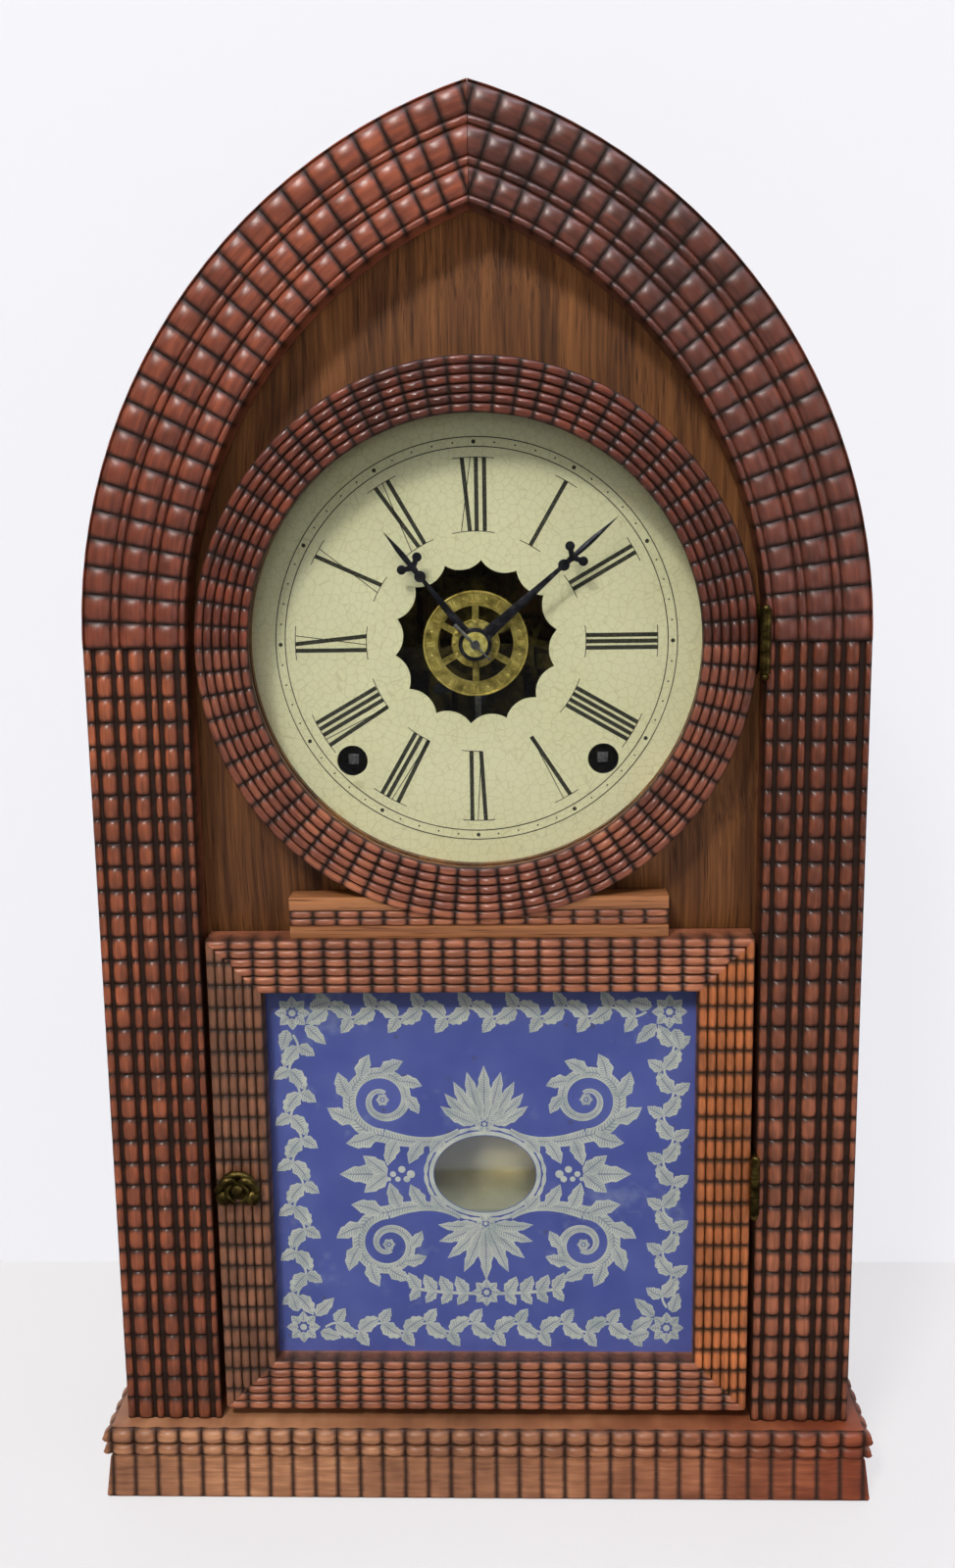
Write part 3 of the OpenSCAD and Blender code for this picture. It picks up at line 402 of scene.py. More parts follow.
def arch_point(s, x, y, side):
    """The place s degrees up the bend and x in from its outer edge, at depth y."""
    turn = math.radians(s)
    r = ARC_RO - x
    return side * (r * math.cos(turn) - ARC_OFF), y, SPRING + r * math.sin(turn)


for side, finish in ((-1, rosewood_arch_left), (1, rosewood_arch_right)):
    name = "arch_left" if side < 0 else "arch_right"
    moulding("rippled_" + name, finish, "case", [name], ripples(0, 2.9, 26), arch_beads,
             lambda s, x, y: arch_point(s, x, y, side), (1, 14),
             [((side * 0.08, 0, 0), (-side, 0, 0))], low=0.36, reach=2.9, seam=0.5)


# Base: a plain board with a rippled foot moulding glued round its front and sides: a tall
# bead, a small one, and a fluted fascia that flares to the floor. Paler, rubbed wood.
faded_rosewood = rosewood("rubbed_rosewood_foot", "#dba074", "#ab7552", "#744c36", "#3b251b", 2.2,
                          gloss=0.4, haze=0.26, drift=(0, 0.0, 0.13, "#c48e7c"))
# the fascia's flutes are broad and shallow, with a rounded bottom edge
foot = [(0.0, 1.75, 0.0, 0.2), (0.3, 1.35, 0.25, 0.6), (1.2, 1.3, 0.7, 0.95)]
foot += [(z, 1.34 + (z - 1.3) * 0.118, 0.75, 1.0) for z in (1.8, 4.5, 8.0, 12.0, 15.4)]
foot += [(16.2, 3.1, 0.3, 0.2)] + beads([(16.6, 20.8, 0.15)], 2.8) + beads([(21.1, 26.6, 0.0)], 2.9)
foot += [(26.9, 2.9, 0, 0.6), (27.0, 3.2, 0, 2.0)]
# where the foot's sides, front and back are, how far in the mitres reach, and one ripple
FOOT_X, FOOT_Y, FOOT_BACK = 138.3, -6.3, 98.0
CORE, CORE_Y, PITCH = 120.0, 12, 8.2
moulding("rippled_foot_front", faded_rosewood, "case", ["base_front"], ripples(-17.5 * PITCH, PITCH, 35),
         foot, lambda s, x, y: (s, FOOT_Y + y, x), (1, CORE_Y),
         [((-CORE, CORE_Y, 0), (-1, 1, 0)), ((CORE, CORE_Y, 0), (1, 1, 0))], seam=0.6)
for side in (-1, 1):
    moulding("rippled_foot_left" if side < 0 else "rippled_foot_right", faded_rosewood, "case",
             ["base_sides"], ripples(FOOT_Y - 1.0, PITCH, 13), foot,
             lambda s, x, y: (side * (FOOT_X - y), s, x), (0, side * CORE),
             [((side * CORE, CORE_Y, 0), (-side, -1, 0)), ((0, FOOT_BACK, 0), (0, 1, 0))], seam=0.6)


# Dial: sheet zinc painted cream, with black numerals and a minute track printed on it, its
# middle cut out in fourteen scallops so that the works show. Pinned to the panel.
DIAL_Z = 307.5
# Oil paint gone cream with age: faint clouds, fine cracks and a half matt surface.
dial_paint, tree = material("aged_cream_oil_paint")
place = add(tree, "TexCoord").outputs["Object"]
cloud = add(tree, "TexNoise", {"Scale": 22.0, "Detail": 4.0}, {"Vector": place})
cracks = add(tree, "TexVoronoi", {"feature": "DISTANCE_TO_EDGE", "Scale": 330.0}, {"Vector": place})
cream = add(tree, "ValToRGB", {"stops": [(0.3, "#e3dfb7"), (0.7, "#ebe7c4")]}, {0: cloud})
lines = add(tree, "ValToRGB", {"stops": [(0.0, "#c2bb90"), (0.06, "#ffffff")]}, {0: cracks})
shade = add(tree, "Mix", {"data_type": "RGBA", "blend_type": "MULTIPLY", 0: 0.35}, {6: cream, 7: lines})
rise = add(tree, "Bump", {"Strength": 0.15, "Distance": 0.0001}, {"Height": cracks})
add(tree, "OutputMaterial", None, {"Surface": add(
    tree, "BsdfPrincipled", {"Roughness": 0.5}, {"Base Color": shade.outputs[2], "Normal": rise})})
dress(dial_paint, "dial")


def mottled(name, scale, detail, stops, skin, roughness=0.5, dull=None, bump=None):
    """A plain finish. Its shade wanders through stops with a noise of scale cells to the metre,
    which may also make it dull (from, to) and stand up as a bump (strength, height)."""
    new, tree = material(name)
    wander = add(tree, "TexNoise", {"Scale": scale, "Detail": detail, "Roughness": roughness},
                 {"Vector": add(tree, "TexCoord").outputs["Object"]})
    links = {"Base Color": add(tree, "ValToRGB", {"stops": stops}, {0: wander})}
    if dull:
        links["Roughness"] = add(tree, "MapRange", {"To Min": dull[0], "To Max": dull[1]}, {"Value": wander})
    if bump:
        links["Normal"] = add(tree, "Bump", {"Strength": bump[0], "Distance": bump[1]}, {"Height": wander})
    add(tree, "OutputMaterial", None, {"Surface": add(tree, "BsdfPrincipled", skin, links)})
    return new


# Printer's black, rubbed thin in specks where the cream shows brown through it.
ink = mottled("worn_black_printing_ink", 1500.0, 2.0, [(0.5, "#24241d"), (0.66, "#57553f")],
              {"Roughness": 0.5})


def on_dial(r, t, turn, y):
    """A point r out and t across, clockwise, on the ray at turn degrees from twelve."""
    a = math.radians(turn)
    return Vector((r * math.sin(a) + t * math.cos(a), y, DIAL_Z + r * math.cos(a) - t * math.sin(a))) * 0.001


def ring(bm, r, width, y):
    """A printed circle: a short line spun round the dial's centre."""
    pair = [bm.verts.new(on_dial(r + k * width / 2, 0, 0, y)) for k in (-1, 1)]
    bmesh.ops.spin(bm, geom=pair + [bm.edges.new(pair)], cent=(0, 0, DIAL_Z * 0.001), axis=(0, 1, 0),
                   angle=2 * math.pi, steps=144, use_merge=True)


def printed(bm, depth):
    """Gives flat printed marks a film's thickness, towards the front."""
    marks = bmesh.ops.extrude_face_region(bm, geom=bm.faces[:])["geom"]
    film = [g for g in marks if isinstance(g, bmesh.types.BMVert)]
    bmesh.ops.translate(bm, verts=film, vec=(0, -depth, 0))


# for each letter its width and its strokes, in strokes' pitch: where each is at the top and the
# foot, and how wide in thick strokes. The widest numerals are drawn closer together.
LETTERS = {"I": (1.0, [(0.0, 0.0, 1.0)]), "V": (1.5, [(-0.47, 0.04, 1.0), (0.53, 0.04, 0.2)]),
           "X": (1.55, [(-0.45, 0.45, 1.0), (0.6, -0.6, 0.2)])}
CLOSER = {"II": 0.9, "III": 0.78, "IIII": 0.83, "VII": 0.85, "VIII": 0.87}


def numerals(bm, low, high, pitch, thick, hair, y):
    """Twelve roman numerals round the dial's centre, tops outwards, with thin curved serifs."""
    for hour, letters in enumerate("XII I II III IIII V VI VII VIII IX X XI".split()):
        gap = pitch * CLOSER.get(letters, 1.0)
        at = -sum(LETTERS[c][0] for c in letters) * gap / 2
        ends = [[], []]
        for c in letters:
            at += LETTERS[c][0] * gap / 2
            for top, foot_t, wide in LETTERS[c][1]:
                top, foot_t, wide = at + top * gap, at + foot_t * gap, max(hair, wide * thick) / 2
                corners = [(high, top - wide), (high, top + wide), (low, foot_t + wide),
                           (low, foot_t - wide)]
                bm.faces.new([bm.verts.new(on_dial(r, t, hour * 30, y)) for r, t in corners])
                ends[0].append(top)
                if c != "V":
                    ends[1].append(foot_t)
            at += LETTERS[c][0] * gap / 2
        past = (1.5 if letters == "I" else 1.2) * pitch
        for r, marks in ((high, ends[0]), (low, ends[1])):
            if marks:
                left, wide = min(marks) - past, max(marks) - min(marks) + 2 * past
                edge = [bm.verts.new(on_dial(r + k * hair / 2, 0, hour * 30 + math.degrees(left / r), y))
                        for k in (-1, 1)]
                bmesh.ops.spin(bm, geom=edge + [bm.edges.new(edge)], cent=(0, 0, DIAL_Z * 0.001),
                               axis=(0, 1, 0), angle=wide / r, steps=8)


INK_Y = 19.97
bm = bmesh.new()
numerals(bm, low=37.6, high=62.0, pitch=2.75, thick=1.42, hair=0.27, y=INK_Y)
for r in (65.5, 68.7):
    ring(bm, r, 0.34, INK_Y)
for minute in range(60):
    dot = 0.72 if minute % 5 == 0 else 0.32
    bmesh.ops.create_circle(bm, cap_ends=True, segments=10, radius=dot * 0.001, matrix=Matrix.Translation(
        on_dial(67.1, 0, minute * 6, INK_Y)) @ Matrix.Rotation(math.pi / 2, 4, "X"))
printed(bm, 0.00002)
finished("printed_numerals", bm, ink, "case")


# Door frame: four mitred rails of six narrow rippled beads round the lower glass, a bridge
# block above them, and a turned wooden ring that carries the round bezel.
# the square frame's half width, foot and top, a rail's width, a bead's, and a ripple's length
DOOR, LOW_Z, HIGH_Z, RAIL, BEAD_WIDE, RIPPLE_LONG = 94.2, 31.2, 207.5, 19.0, 3.15, 8.1
rosewood_rail = rosewood("shellacked_rosewood_rails", "#d0875f", "#a26143", "#67402d",
                         "#2b1a12", shift=4.4, haze=0.3)
rosewood_stile_left = rosewood("shellacked_rosewood_left_stile", "#ab7150", "#7f543c", "#54392b",
                               "#33241a", 7.7, haze=0.3)
rosewood_stile_right = rosewood("shellacked_rosewood_right_stile", "#da7f46", "#ac6335", "#704325",
                                "#38220f", 6.6)
rail_beads = beads([(0.1 + i * BEAD_WIDE, 0.1 + (i + 1) * BEAD_WIDE - 0.12, 0.6 if i in (0, 5) else 0.2)
                    for i in range(6)], 1.9)
rail_beads = [(0.0, 2.6, 0, 0.3)] + rail_beads[1:] + [(RAIL, 2.4, 0, 0.2)]


def rail(name, finish, length, put, planes):
    """One of the four rails, with a whole number of ripples of about the right length."""
    count = round(length / RIPPLE_LONG)
    moulding("rippled_" + name, finish, "door", [name], ripples(0, length / count, count), rail_beads,
             put, (1, 14), planes)


for up, edge, name in ((-1, HIGH_Z, "door_rail_top"), (1, LOW_Z, "door_rail_bottom")):
    rail(name, rosewood_rail, 2 * DOOR, lambda s, x, y: (s - DOOR, y, edge + up * x),
         [((side * DOOR, 0, edge), (side, 0, up)) for side in (-1, 1)])
for side, finish, name in ((-1, rosewood_stile_left, "door_stile_left"),
                           (1, rosewood_stile_right, "door_stile_right")):
    rail(name, finish, HIGH_Z - LOW_Z, lambda s, x, y: (side * (DOOR - x), y, LOW_Z + s),
         [((side * DOOR, 0, LOW_Z), (-side, 0, -1)), ((side * DOOR, 0, HIGH_Z), (-side, 0, 1))])
dress(veneer, "door_ring")

# Plain strips of rosewood, planed and left square, above and below two fine beads: paler
# than the ripples, with the grain across the door and a thin satin coat.
plain_rosewood = sawn_wood("planed_rosewood_strips", "#bd7f50", "#a56c43", "#835233", 0.25, (14, 500, 650))


def block(bm, low, high, edge=0.25):
    """A planed block between two corners, its edges eased."""
    low, high = Vector(low) * 0.001, Vector(high) * 0.001
    made = bmesh.ops.create_cube(bm, size=1.0, matrix=Matrix.Translation((low + high) / 2)
                                 @ Matrix.Diagonal((*(high - low), 1)))["verts"]
    bmesh.ops.bevel(bm, geom=list({e for v in made for e in v.link_edges}), offset=edge * 0.001, segments=2,
                    profile=0.5, affect="EDGES", material=-1)


# the bridge block's half width
BRIDGE = 65.0
bm = bmesh.new()
block(bm, (-BRIDGE, 4.6, HIGH_Z), (BRIDGE, 14.0, HIGH_Z + 14.5))
block(bm, (-BRIDGE, 3.8, HIGH_Z), (BRIDGE, 6.0, HIGH_Z + 4.2))
block(bm, (-BRIDGE, 3.8, HIGH_Z + 9.9), (BRIDGE, 6.0, HIGH_Z + 14.5))
finished("bridge_strips", bm, plain_rosewood, "door", ["door_bridge"])
moulding("rippled_bridge_beads", rosewood_rail, "door", [], ripples(-BRIDGE, 8.125, 16),
         beads([(0.1, 2.6, 0.05), (2.8, 5.3, 0.05)], 1.1),
         lambda s, x, y: (s, 3.5 + y, HIGH_Z + 4.35 + x), (1, 6.0))


# Bezel: four quarters of the narrow rippled rosewood moulding, bent round the dial glass and
# glued to the wooden ring, butted level with the dial's centre and plumb above and below it.
# the moulding's inner radius, a bead's width, and the length of one degree along its middle
RING_IN, BEZEL_BEAD, DEGREE = 75.4, 3.0167, 1.475
# the upper quarters are painted darker, as the shade the arch casts on them; the lower ones keep the wood's
# own shade
rosewood_upper = rosewood("shellacked_rosewood_upper_bezel_painted_shade", "#8a442d", "#5a2d20", "#311913", shift=9.1)
rosewood_lower = rosewood("shellacked_rosewood_lower_bezel", "#b9714e", "#844a36", "#4b2b20", shift=8.3)
bezel_beads = beads([(0.0 + i * BEZEL_BEAD, (i + 1) * BEZEL_BEAD - 0.12, 0.5 if i in (0, 5) else 0.0)
                     for i in range(6)], 1.7)
for k, name in enumerate(["bezel_upper_right", "bezel_upper_left", "bezel_lower_left", "bezel_lower_right"]):
    finish = rosewood_upper if k < 2 else rosewood_lower
    moulding("rippled_" + name, finish, "door", [name], ripples(90 * k, 5.0, 18), bezel_beads,
             lambda s, x, y: ((RING_IN + x) * math.cos(math.radians(s)), 1.5 + y,
                              DIAL_Z + (RING_IN + x) * math.sin(math.radians(s))),
             (1, 5.5), reach=DEGREE)


# Glass: two panes of old window glass, cut by hand, a round one in the bezel and a plain one in
# the frame under it. Smooth and nearly colourless, so the eye sees through to what is behind.
clear_glass, tree = material("old_window_glass")
pane = add(tree, "BsdfPrincipled", {
    "Base Color": "#fbfdfb", "Roughness": 0.0, "IOR": 1.5, "Transmission Weight": 1.0})
through = add(tree, "BsdfTransparent", {"Color": "#f4f7f3"})
rays = add(tree, "LightPath")
add(tree, "OutputMaterial", None, {"Surface": add(tree, "MixShader", None, {
    0: rays.outputs["Is Shadow Ray"], 1: pane, 2: through})})
dress(clear_glass, "bezel_glass", "tablet_glass")

# Painted tablet: cobalt blue oil paint over an engraved pale leaf pattern on the back of the
# lower glass, with a clear oval that shows the bob. Clouded and spotted where damp got in.

# the oval's centre and half axes, and the painted field's half width, foot, top and depth
OVAL, OVAL_X, OVAL_Z = (1.0, 119.0), 18.2, 14.5
GLASS_X, GLASS_LOW, GLASS_HIGH, GLASS_BACK = 76.8, 48.7, 190.0, 9.1


def clouds(tree, place):
    """Worn and bloomed patches of the paint, from 0, sound, to 1, pale."""
    broad = add(tree, "TexNoise", {"Scale": 24.0, "Detail": 5.0, "Roughness": 0.62}, {"Vector": place})
    fine = add(tree, "TexNoise", {"Scale": 260.0, "Detail": 3.0}, {"Vector": place})
    both = add(tree, "Math", {"operation": "MULTIPLY_ADD", 1: 0.25}, {
        0: fine, 2: add(tree, "Math", {"operation": "MULTIPLY", 1: 0.75}, {0: broad})})
    return add(tree, "MapRange", {"From Min": 0.56, "From Max": 0.78}, {"Value": both})


blue_paint, tree = material("cobalt_oil_paint_behind_glass")
place = add(tree, "TexCoord").outputs["Object"]
bloom = clouds(tree, place)
tone = add(tree, "TexNoise", {"Scale": 60.0, "Detail": 2.0}, {"Vector": place})
blue = add(tree, "ValToRGB", {"stops": [(0.3, "#4552a2"), (0.7, "#5560ae")]}, {0: tone})
foxing = add(tree, "TexVoronoi", {"Scale": 95.0, "Randomness": 1.0}, {"Vector": place})
spots = add(tree, "MapRange", {"From Min": 0.12, "From Max": 0.05, "To Max": 0.55}, {
    "Value": foxing.outputs["Distance"]})
worn = add(tree, "Mix", {"data_type": "RGBA", 7: "#8f9abf"}, {0: bloom, 6: blue})
shade = add(tree, "Mix", {"data_type": "RGBA", 7: "#4a4d63"}, {0: spots, 6: worn.outputs[2]})
add(tree, "OutputMaterial", None, {"Surface": add(
    tree, "BsdfPrincipled", {"Roughness": 0.6}, {"Base Color": shade.outputs[2]})})
bm = bmesh.new()
window = Matrix.Translation(Vector((OVAL[0], GLASS_BACK, OVAL[1])) * 0.001)
window = window @ Matrix.Rotation(math.pi / 2, 4, "X") @ Matrix.Diagonal((OVAL_X, OVAL_Z, 1, 1))
bmesh.ops.create_circle(bm, segments=64, radius=0.001, matrix=window)
loop = [bm.verts.new(Vector((x, GLASS_BACK, z)) * 0.001) for x, z in (
    (-GLASS_X, GLASS_LOW), (GLASS_X, GLASS_LOW), (GLASS_X, GLASS_HIGH), (-GLASS_X, GLASS_HIGH))]
for i in range(4):
    bm.edges.new((loop[i], loop[(i + 1) % 4]))
bmesh.ops.triangle_fill(bm, use_beauty=True, edges=bm.edges[:])
printed(bm, 0.00005)
finished("blue_ground", bm, blue_paint, "door")

# The pale pattern is thin tin leaf scratched with fine lines: a midrib down each mark and
# slanting veins, drawn 0.9 mm apart, coarser than the real 0.4 mm, so that they show.
pale_leaf, tree = material("engraved_tin_leaf_behind_glass")
place = add(tree, "TexCoord").outputs["Object"]
mark = add(tree, "Attribute", {"attribute_name": "mark"}).outputs["Vector"]
along, across, plain_mark = add(tree, "SeparateXYZ", None, {0: mark}).outputs
side_on = add(tree, "Math", {"operation": "ABSOLUTE"}, {0: across})
slant = add(tree, "Math", {"operation": "MULTIPLY_ADD", 1: -1.1}, {0: side_on, 2: along})
teeth = add(tree, "Math", {"operation": "PINGPONG", 1: 0.45}, {0: slant})
cut = add(tree, "MapRange", {"From Min": 0.09, "From Max": 0.17, "To Min": 1.0, "To Max": 0.0},
          {"Value": teeth})
rib = add(tree, "MapRange", {"From Min": 0.05, "From Max": 0.13, "To Min": 1.0, "To Max": 0.0},
          {"Value": side_on})
inner = add(tree, "MapRange", {"From Min": 0.85, "From Max": 0.6}, {"Value": side_on})
veins = add(tree, "Math", {"operation": "MULTIPLY"}, {0: cut, 1: inner})
lines = add(tree, "Math", {"operation": "MAXIMUM"}, {0: veins, 1: rib})
depth = add(tree, "Math", {"operation": "MULTIPLY"}, {0: lines, 1: plain_mark})
tone = add(tree, "TexNoise", {"Scale": 180.0, "Detail": 4.0, "Roughness": 0.6}, {"Vector": place})
tin = add(tree, "ValToRGB", {"stops": [(0.3, "#b4bbb9"), (0.5, "#cccfca"), (0.7, "#d9dbd3")]}, {0: tone})
shade = add(tree, "Mix", {"data_type": "RGBA", 7: "#5a628f"}, {0: depth, 6: tin})
add(tree, "OutputMaterial", None, {"Surface": add(
    tree, "BsdfPrincipled", {"Roughness": 0.5}, {"Base Color": shade.outputs[2]})})

bm = bmesh.new()
layer = bm.verts.layers.float_vector.new("mark")
laid = []


def leaf_y():
    """How deep the next mark lies: each is laid a hair's breadth in front of the one before."""
    laid.append(1)
    return GLASS_BACK - 0.055 - 0.00006 * len(laid)


def stroke(path, width, steps, lined=0.7):
    """A painted mark bent along path(s), width(s) to each side, for s from 0 to 1."""
    y = leaf_y()
    made = bmesh.ops.create_grid(bm, x_segments=steps, y_segments=2, size=0.5)["verts"]
    size = sum(math.dist(path(i / steps), path((i + 1) / steps)) for i in range(steps))
    for v in made:
        s, t = v.co.x + 0.5, v.co.y * 2
        (x, z), (x0, z0), (x1, z1) = path(s), path(s - 0.01), path(s + 0.01)
        step = math.hypot(x1 - x0, z1 - z0)
        wide = max(0.05, width(s)) * t
        v[layer] = (s * size, t, lined)
        v.co = Vector((x + (z0 - z1) / step * wide, y, z + (x1 - x0) / step * wide)) * 0.001


def leaf(x, z, heading, length, half, bend=0.0, lobes=3, steps=9):
    """A painted leaf from its stalk at (x, z), with a notched edge and a curved midrib."""
    c, n = math.cos(math.radians(heading)), math.sin(math.radians(heading))

    def path(s):
        out, off = s * length, bend * length * s * s
        return x + out * c - off * n, z + out * n + off * c

    def width(s):
        return half * math.sin(math.pi * max(0, s) ** 0.72) ** 0.8 * (1 - 0.3 * (s * lobes % 1.0))

    stroke(path, width, steps)


def berry(x, z, r):
    """A plain round berry."""
    spot = Matrix.Translation(Vector((x, leaf_y(), z)) * 0.001) @ Matrix.Rotation(math.pi / 2, 4, "X")
    made = bmesh.ops.create_circle(bm, cap_ends=True, segments=14, radius=r * 0.001, matrix=spot)["verts"]
    for v in made:
        v[layer] = (0.0, 0.6, 0.0)


def out_from(x, z, r, turn):
    """The place r away from (x, z) at turn degrees."""
    return x + r * math.cos(math.radians(turn)), z + r * math.sin(math.radians(turn))


def rosette(x, z, petals, r):
    """A round flower: a ring of petals about a button."""
    for i in range(petals):
        turn = 360 * i / petals
        leaf(*out_from(x, z, 0.3 * r, turn), turn, 0.7 * r, 0.86 * r * math.pi / petals, lobes=1, steps=6)
    berry(x, z, 0.2 * r)


# the border: a waving stem along each side with leaves to left and right, flowers at the corners
EDGE_X, EDGE_LOW, EDGE_HIGH = 66.0, 59.6, 179.2
EDGE_WIDE, EDGE_TALL = 2 * EDGE_X, EDGE_HIGH - EDGE_LOW
for x0, z0, turn, length, waves in (
        (-EDGE_X, EDGE_LOW, 0, EDGE_WIDE, 7), (EDGE_X, EDGE_HIGH, 180, EDGE_WIDE, 7),
        (EDGE_X, EDGE_LOW, 90, EDGE_TALL, 6), (-EDGE_X, EDGE_HIGH, 270, EDGE_TALL, 6)):
    c, n = math.cos(math.radians(turn)), math.sin(math.radians(turn))
    start, span = 8.0, length - 16.0

    def vine(s):
        out, off = start + s * span, 1.7 * math.sin(2 * math.pi * waves * s)
        return x0 + out * c - off * n, z0 + out * n + off * c

    stroke(vine, lambda s: 0.42, 12 * waves, 0.0)
    for i in range(2 * waves):
        s, to = (i + 0.5) / (2 * waves), 1 if i % 2 else -1
        x, z = vine(s)
        leaf(x, z, turn + to * 48, 9.2, 3.1, -to * 0.22)
        leaf(x, z, turn - to * 70, 6.6, 2.5, to * 0.2)
        x, z = vine(s + 0.25 / waves)
        berry(x - to * 3.4 * n - 0.9 * c, z + to * 3.4 * c - 0.9 * n, 1.05)
        berry(x - to * 3.6 * n + 1.1 * c, z + to * 3.6 * c + 1.1 * n, 0.95)
for x, z, turn in ((-EDGE_X, EDGE_LOW, 45), (EDGE_X, EDGE_LOW, 135), (EDGE_X, EDGE_HIGH, 225),
                   (-EDGE_X, EDGE_HIGH, 315)):
    rosette(x, z, 8, 6.2)
    for off in (-62, 0, 62):
        leaf(*out_from(x, z, 6.4, turn + off), turn + off, 8.0 if off else 10.0, 2.6)


# the field: a rimmed oval, four scrolls that spring from it, a fan of leaves above and below,
# and a garland at the foot
def oval_rim(s, out):
    """A place on the rim that runs round the oval, out from its edge."""
    turn = 2 * math.pi * s
    return OVAL[0] + (OVAL_X + out) * math.cos(turn), OVAL[1] + (OVAL_Z + out) * math.sin(turn)


stroke(lambda s: oval_rim(s, 1.0), lambda s: 0.75, 72, 0.0)
stroke(lambda s: oval_rim(s, 3.0), lambda s: 0.4 + 0.35 * abs(math.sin(24 * math.pi * s)), 144, 0.0)
for side in (-1, 1):
    for up, far, high, size in ((1, 36.0, 28.0, 13.5), (-1, 35.0, 27.0, 12.5)):
        cx, cz = OVAL[0] + side * far, OVAL[1] + up * high

        def facing(heading):
            """A heading of the upper right scroll as it is in this one."""
            return up * heading if side > 0 else 180 - up * heading

        def lead(s):
            a, b, c = (9.0, 16.5), (19.0, 9.0), (far, high - size)
            x, z = ((1 - s) ** 2 * a[i] + 2 * s * (1 - s) * b[i] + s * s * c[i] for i in (0, 1))
            return OVAL[0] + side * x, OVAL[1] + up * z

        def curl(s):
            r, turn = size * (1 - 0.8 * s), math.radians(-90 + 560 * s)
            return cx + side * r * math.cos(turn), cz + up * r * math.sin(turn)

        stroke(lead, lambda s: 0.9 + 1.7 * s, 16)
        stroke(curl, lambda s: 2.6 - 1.9 * s, 56)
        rosette(cx, cz, 6, 2.4)
        for k in range(7):
            s = 0.02 + 0.075 * k
            leaf(*curl(s), facing(-42 + 560 * s), 11.0 - 0.6 * k, 3.5 - 0.16 * k, side * up * 0.25)
        for k, (s, length) in enumerate(((0.25, 7.5), (0.55, 9.5), (0.85, 10.5))):
            leaf(*lead(s), facing(-38 - 10 * k), length, 2.9, -side * up * 0.2)
    for k in range(3):
        berry(OVAL[0] + side * (26.5 + 3.2 * k), OVAL[1] + (0.0, 1.8, 0.0)[k], 1.5 - 0.2 * k)
        berry(OVAL[0] + side * (28.0 + 3.2 * k), OVAL[1] - 1.9, 1.2 - 0.2 * k)
    leaf(OVAL[0] + side * 36.0, OVAL[1], 90 - side * 90, 16.0, 4.0)
    leaf(OVAL[0] + side * 35.0, OVAL[1], 90 - side * 50, 11.0, 3.2)
    leaf(OVAL[0] + side * 35.0, OVAL[1], -90 + side * 50, 11.0, 3.2)
for up in (1, -1):
    for k in range(-4, 5):
        away = up * 90 + k * 19
        x = OVAL[0] + 3.2 * math.cos(math.radians(away))
        z = OVAL[1] + up * (OVAL_Z + 4.2) + 2.0 * math.sin(math.radians(away))
        leaf(x, z, away, 20.0 - 1.6 * abs(k), 3.1 - 0.15 * abs(k), -0.06 * k * up, lobes=4, steps=12)
    rosette(OVAL[0], OVAL[1] + up * (OVAL_Z + 4.4), 6, 3.6)
GARLAND = 73.0
for side in (-1, 1):
    def stem(s):
        return OVAL[0] + side * (4 + 23 * s), GARLAND + 2.0 * s * s

    stroke(stem, lambda s: 0.6, 16, 0.0)
    for k in range(4):
        s = (k + 0.5) / 4
        leaf(*stem(s), 90 - side * 42, 7.6, 2.7, side * 0.2)
        leaf(*stem(s), -90 + side * 50, 5.8, 2.1, -side * 0.2)
rosette(OVAL[0], GARLAND + 0.4, 8, 5.4)
printed(bm, 0.000004)
finished("engraved_leaf_pattern", bm, pale_leaf, "door")

# A grey bloom of dust and damp on the inside of the clear oval, matt, heavy at its top and foot
# and thin across the middle. Its banding is painted light and shade: grey above the bob, thin
# where the bob is lit, and paler and greener towards the foot.
bloomed, tree = material("bloom_and_painted_light_on_clear_oval")
place = add(tree, "TexCoord").outputs["Object"]
grey = add(tree, "TexNoise", {"Scale": 130.0, "Detail": 4.0}, {"Vector": place})
height = add(tree, "SeparateXYZ", None, {0: place}).outputs[2]
down = add(tree, "MapRange", {
    "From Min": (OVAL[1] + OVAL_Z) * 0.001, "From Max": (OVAL[1] - OVAL_Z) * 0.001}, {"Value": height})
mixed = add(tree, "Math", {"operation": "MULTIPLY_ADD", 1: 0.25}, {0: grey, 2: down})
# painted light: the film's shade grows paler and greener towards the foot
shade = add(tree, "ValToRGB", {"stops": [
    (0.25, "#7d7f89"), (0.6, "#83858a"), (0.8, "#b0b3a6"), (1.0, "#bcbfae")]}, {0: mixed})
# painted shade and light: heavy above and below, thin across the middle where the lit bob shows
thick = add(tree, "ValToRGB", {"stops": [
    (0.0, "#b4b4b4"), (0.38, "#a8a8a8"), (0.48, "#545454"), (0.66, "#606060"), (1.0, "#b0b0b0")]}, {0: down})
add(tree, "OutputMaterial", None, {"Surface": add(tree, "MixShader", None, {
    0: thick, 1: add(tree, "BsdfTransparent"),
    2: add(tree, "BsdfPrincipled", {"Roughness": 0.7}, {"Base Color": shade})})})
bm = bmesh.new()
bmesh.ops.create_circle(bm, cap_ends=True, segments=64, radius=0.001, matrix=window)
printed(bm, 0.00002)
finished("oval_bloom_and_painted_light", bm, bloomed, "door")


# Hinges and catch: cast brass, dark with age. The catch is a knot of bent bars on a turning
# spindle, with a tongue behind that grips the case.
dark_brass = mottled("dark_cast_brass", 240.0, 5.0,
                     [(0.35, "#2f2813"), (0.52, "#5d5029"), (0.68, "#9a8648")],
                     {"Metallic": 1.0}, 0.65, dull=(0.6, 0.3), bump=(0.25, 0.0002))
dress(dark_brass, "hinge_leaves_case", "hinge_leaves_door")


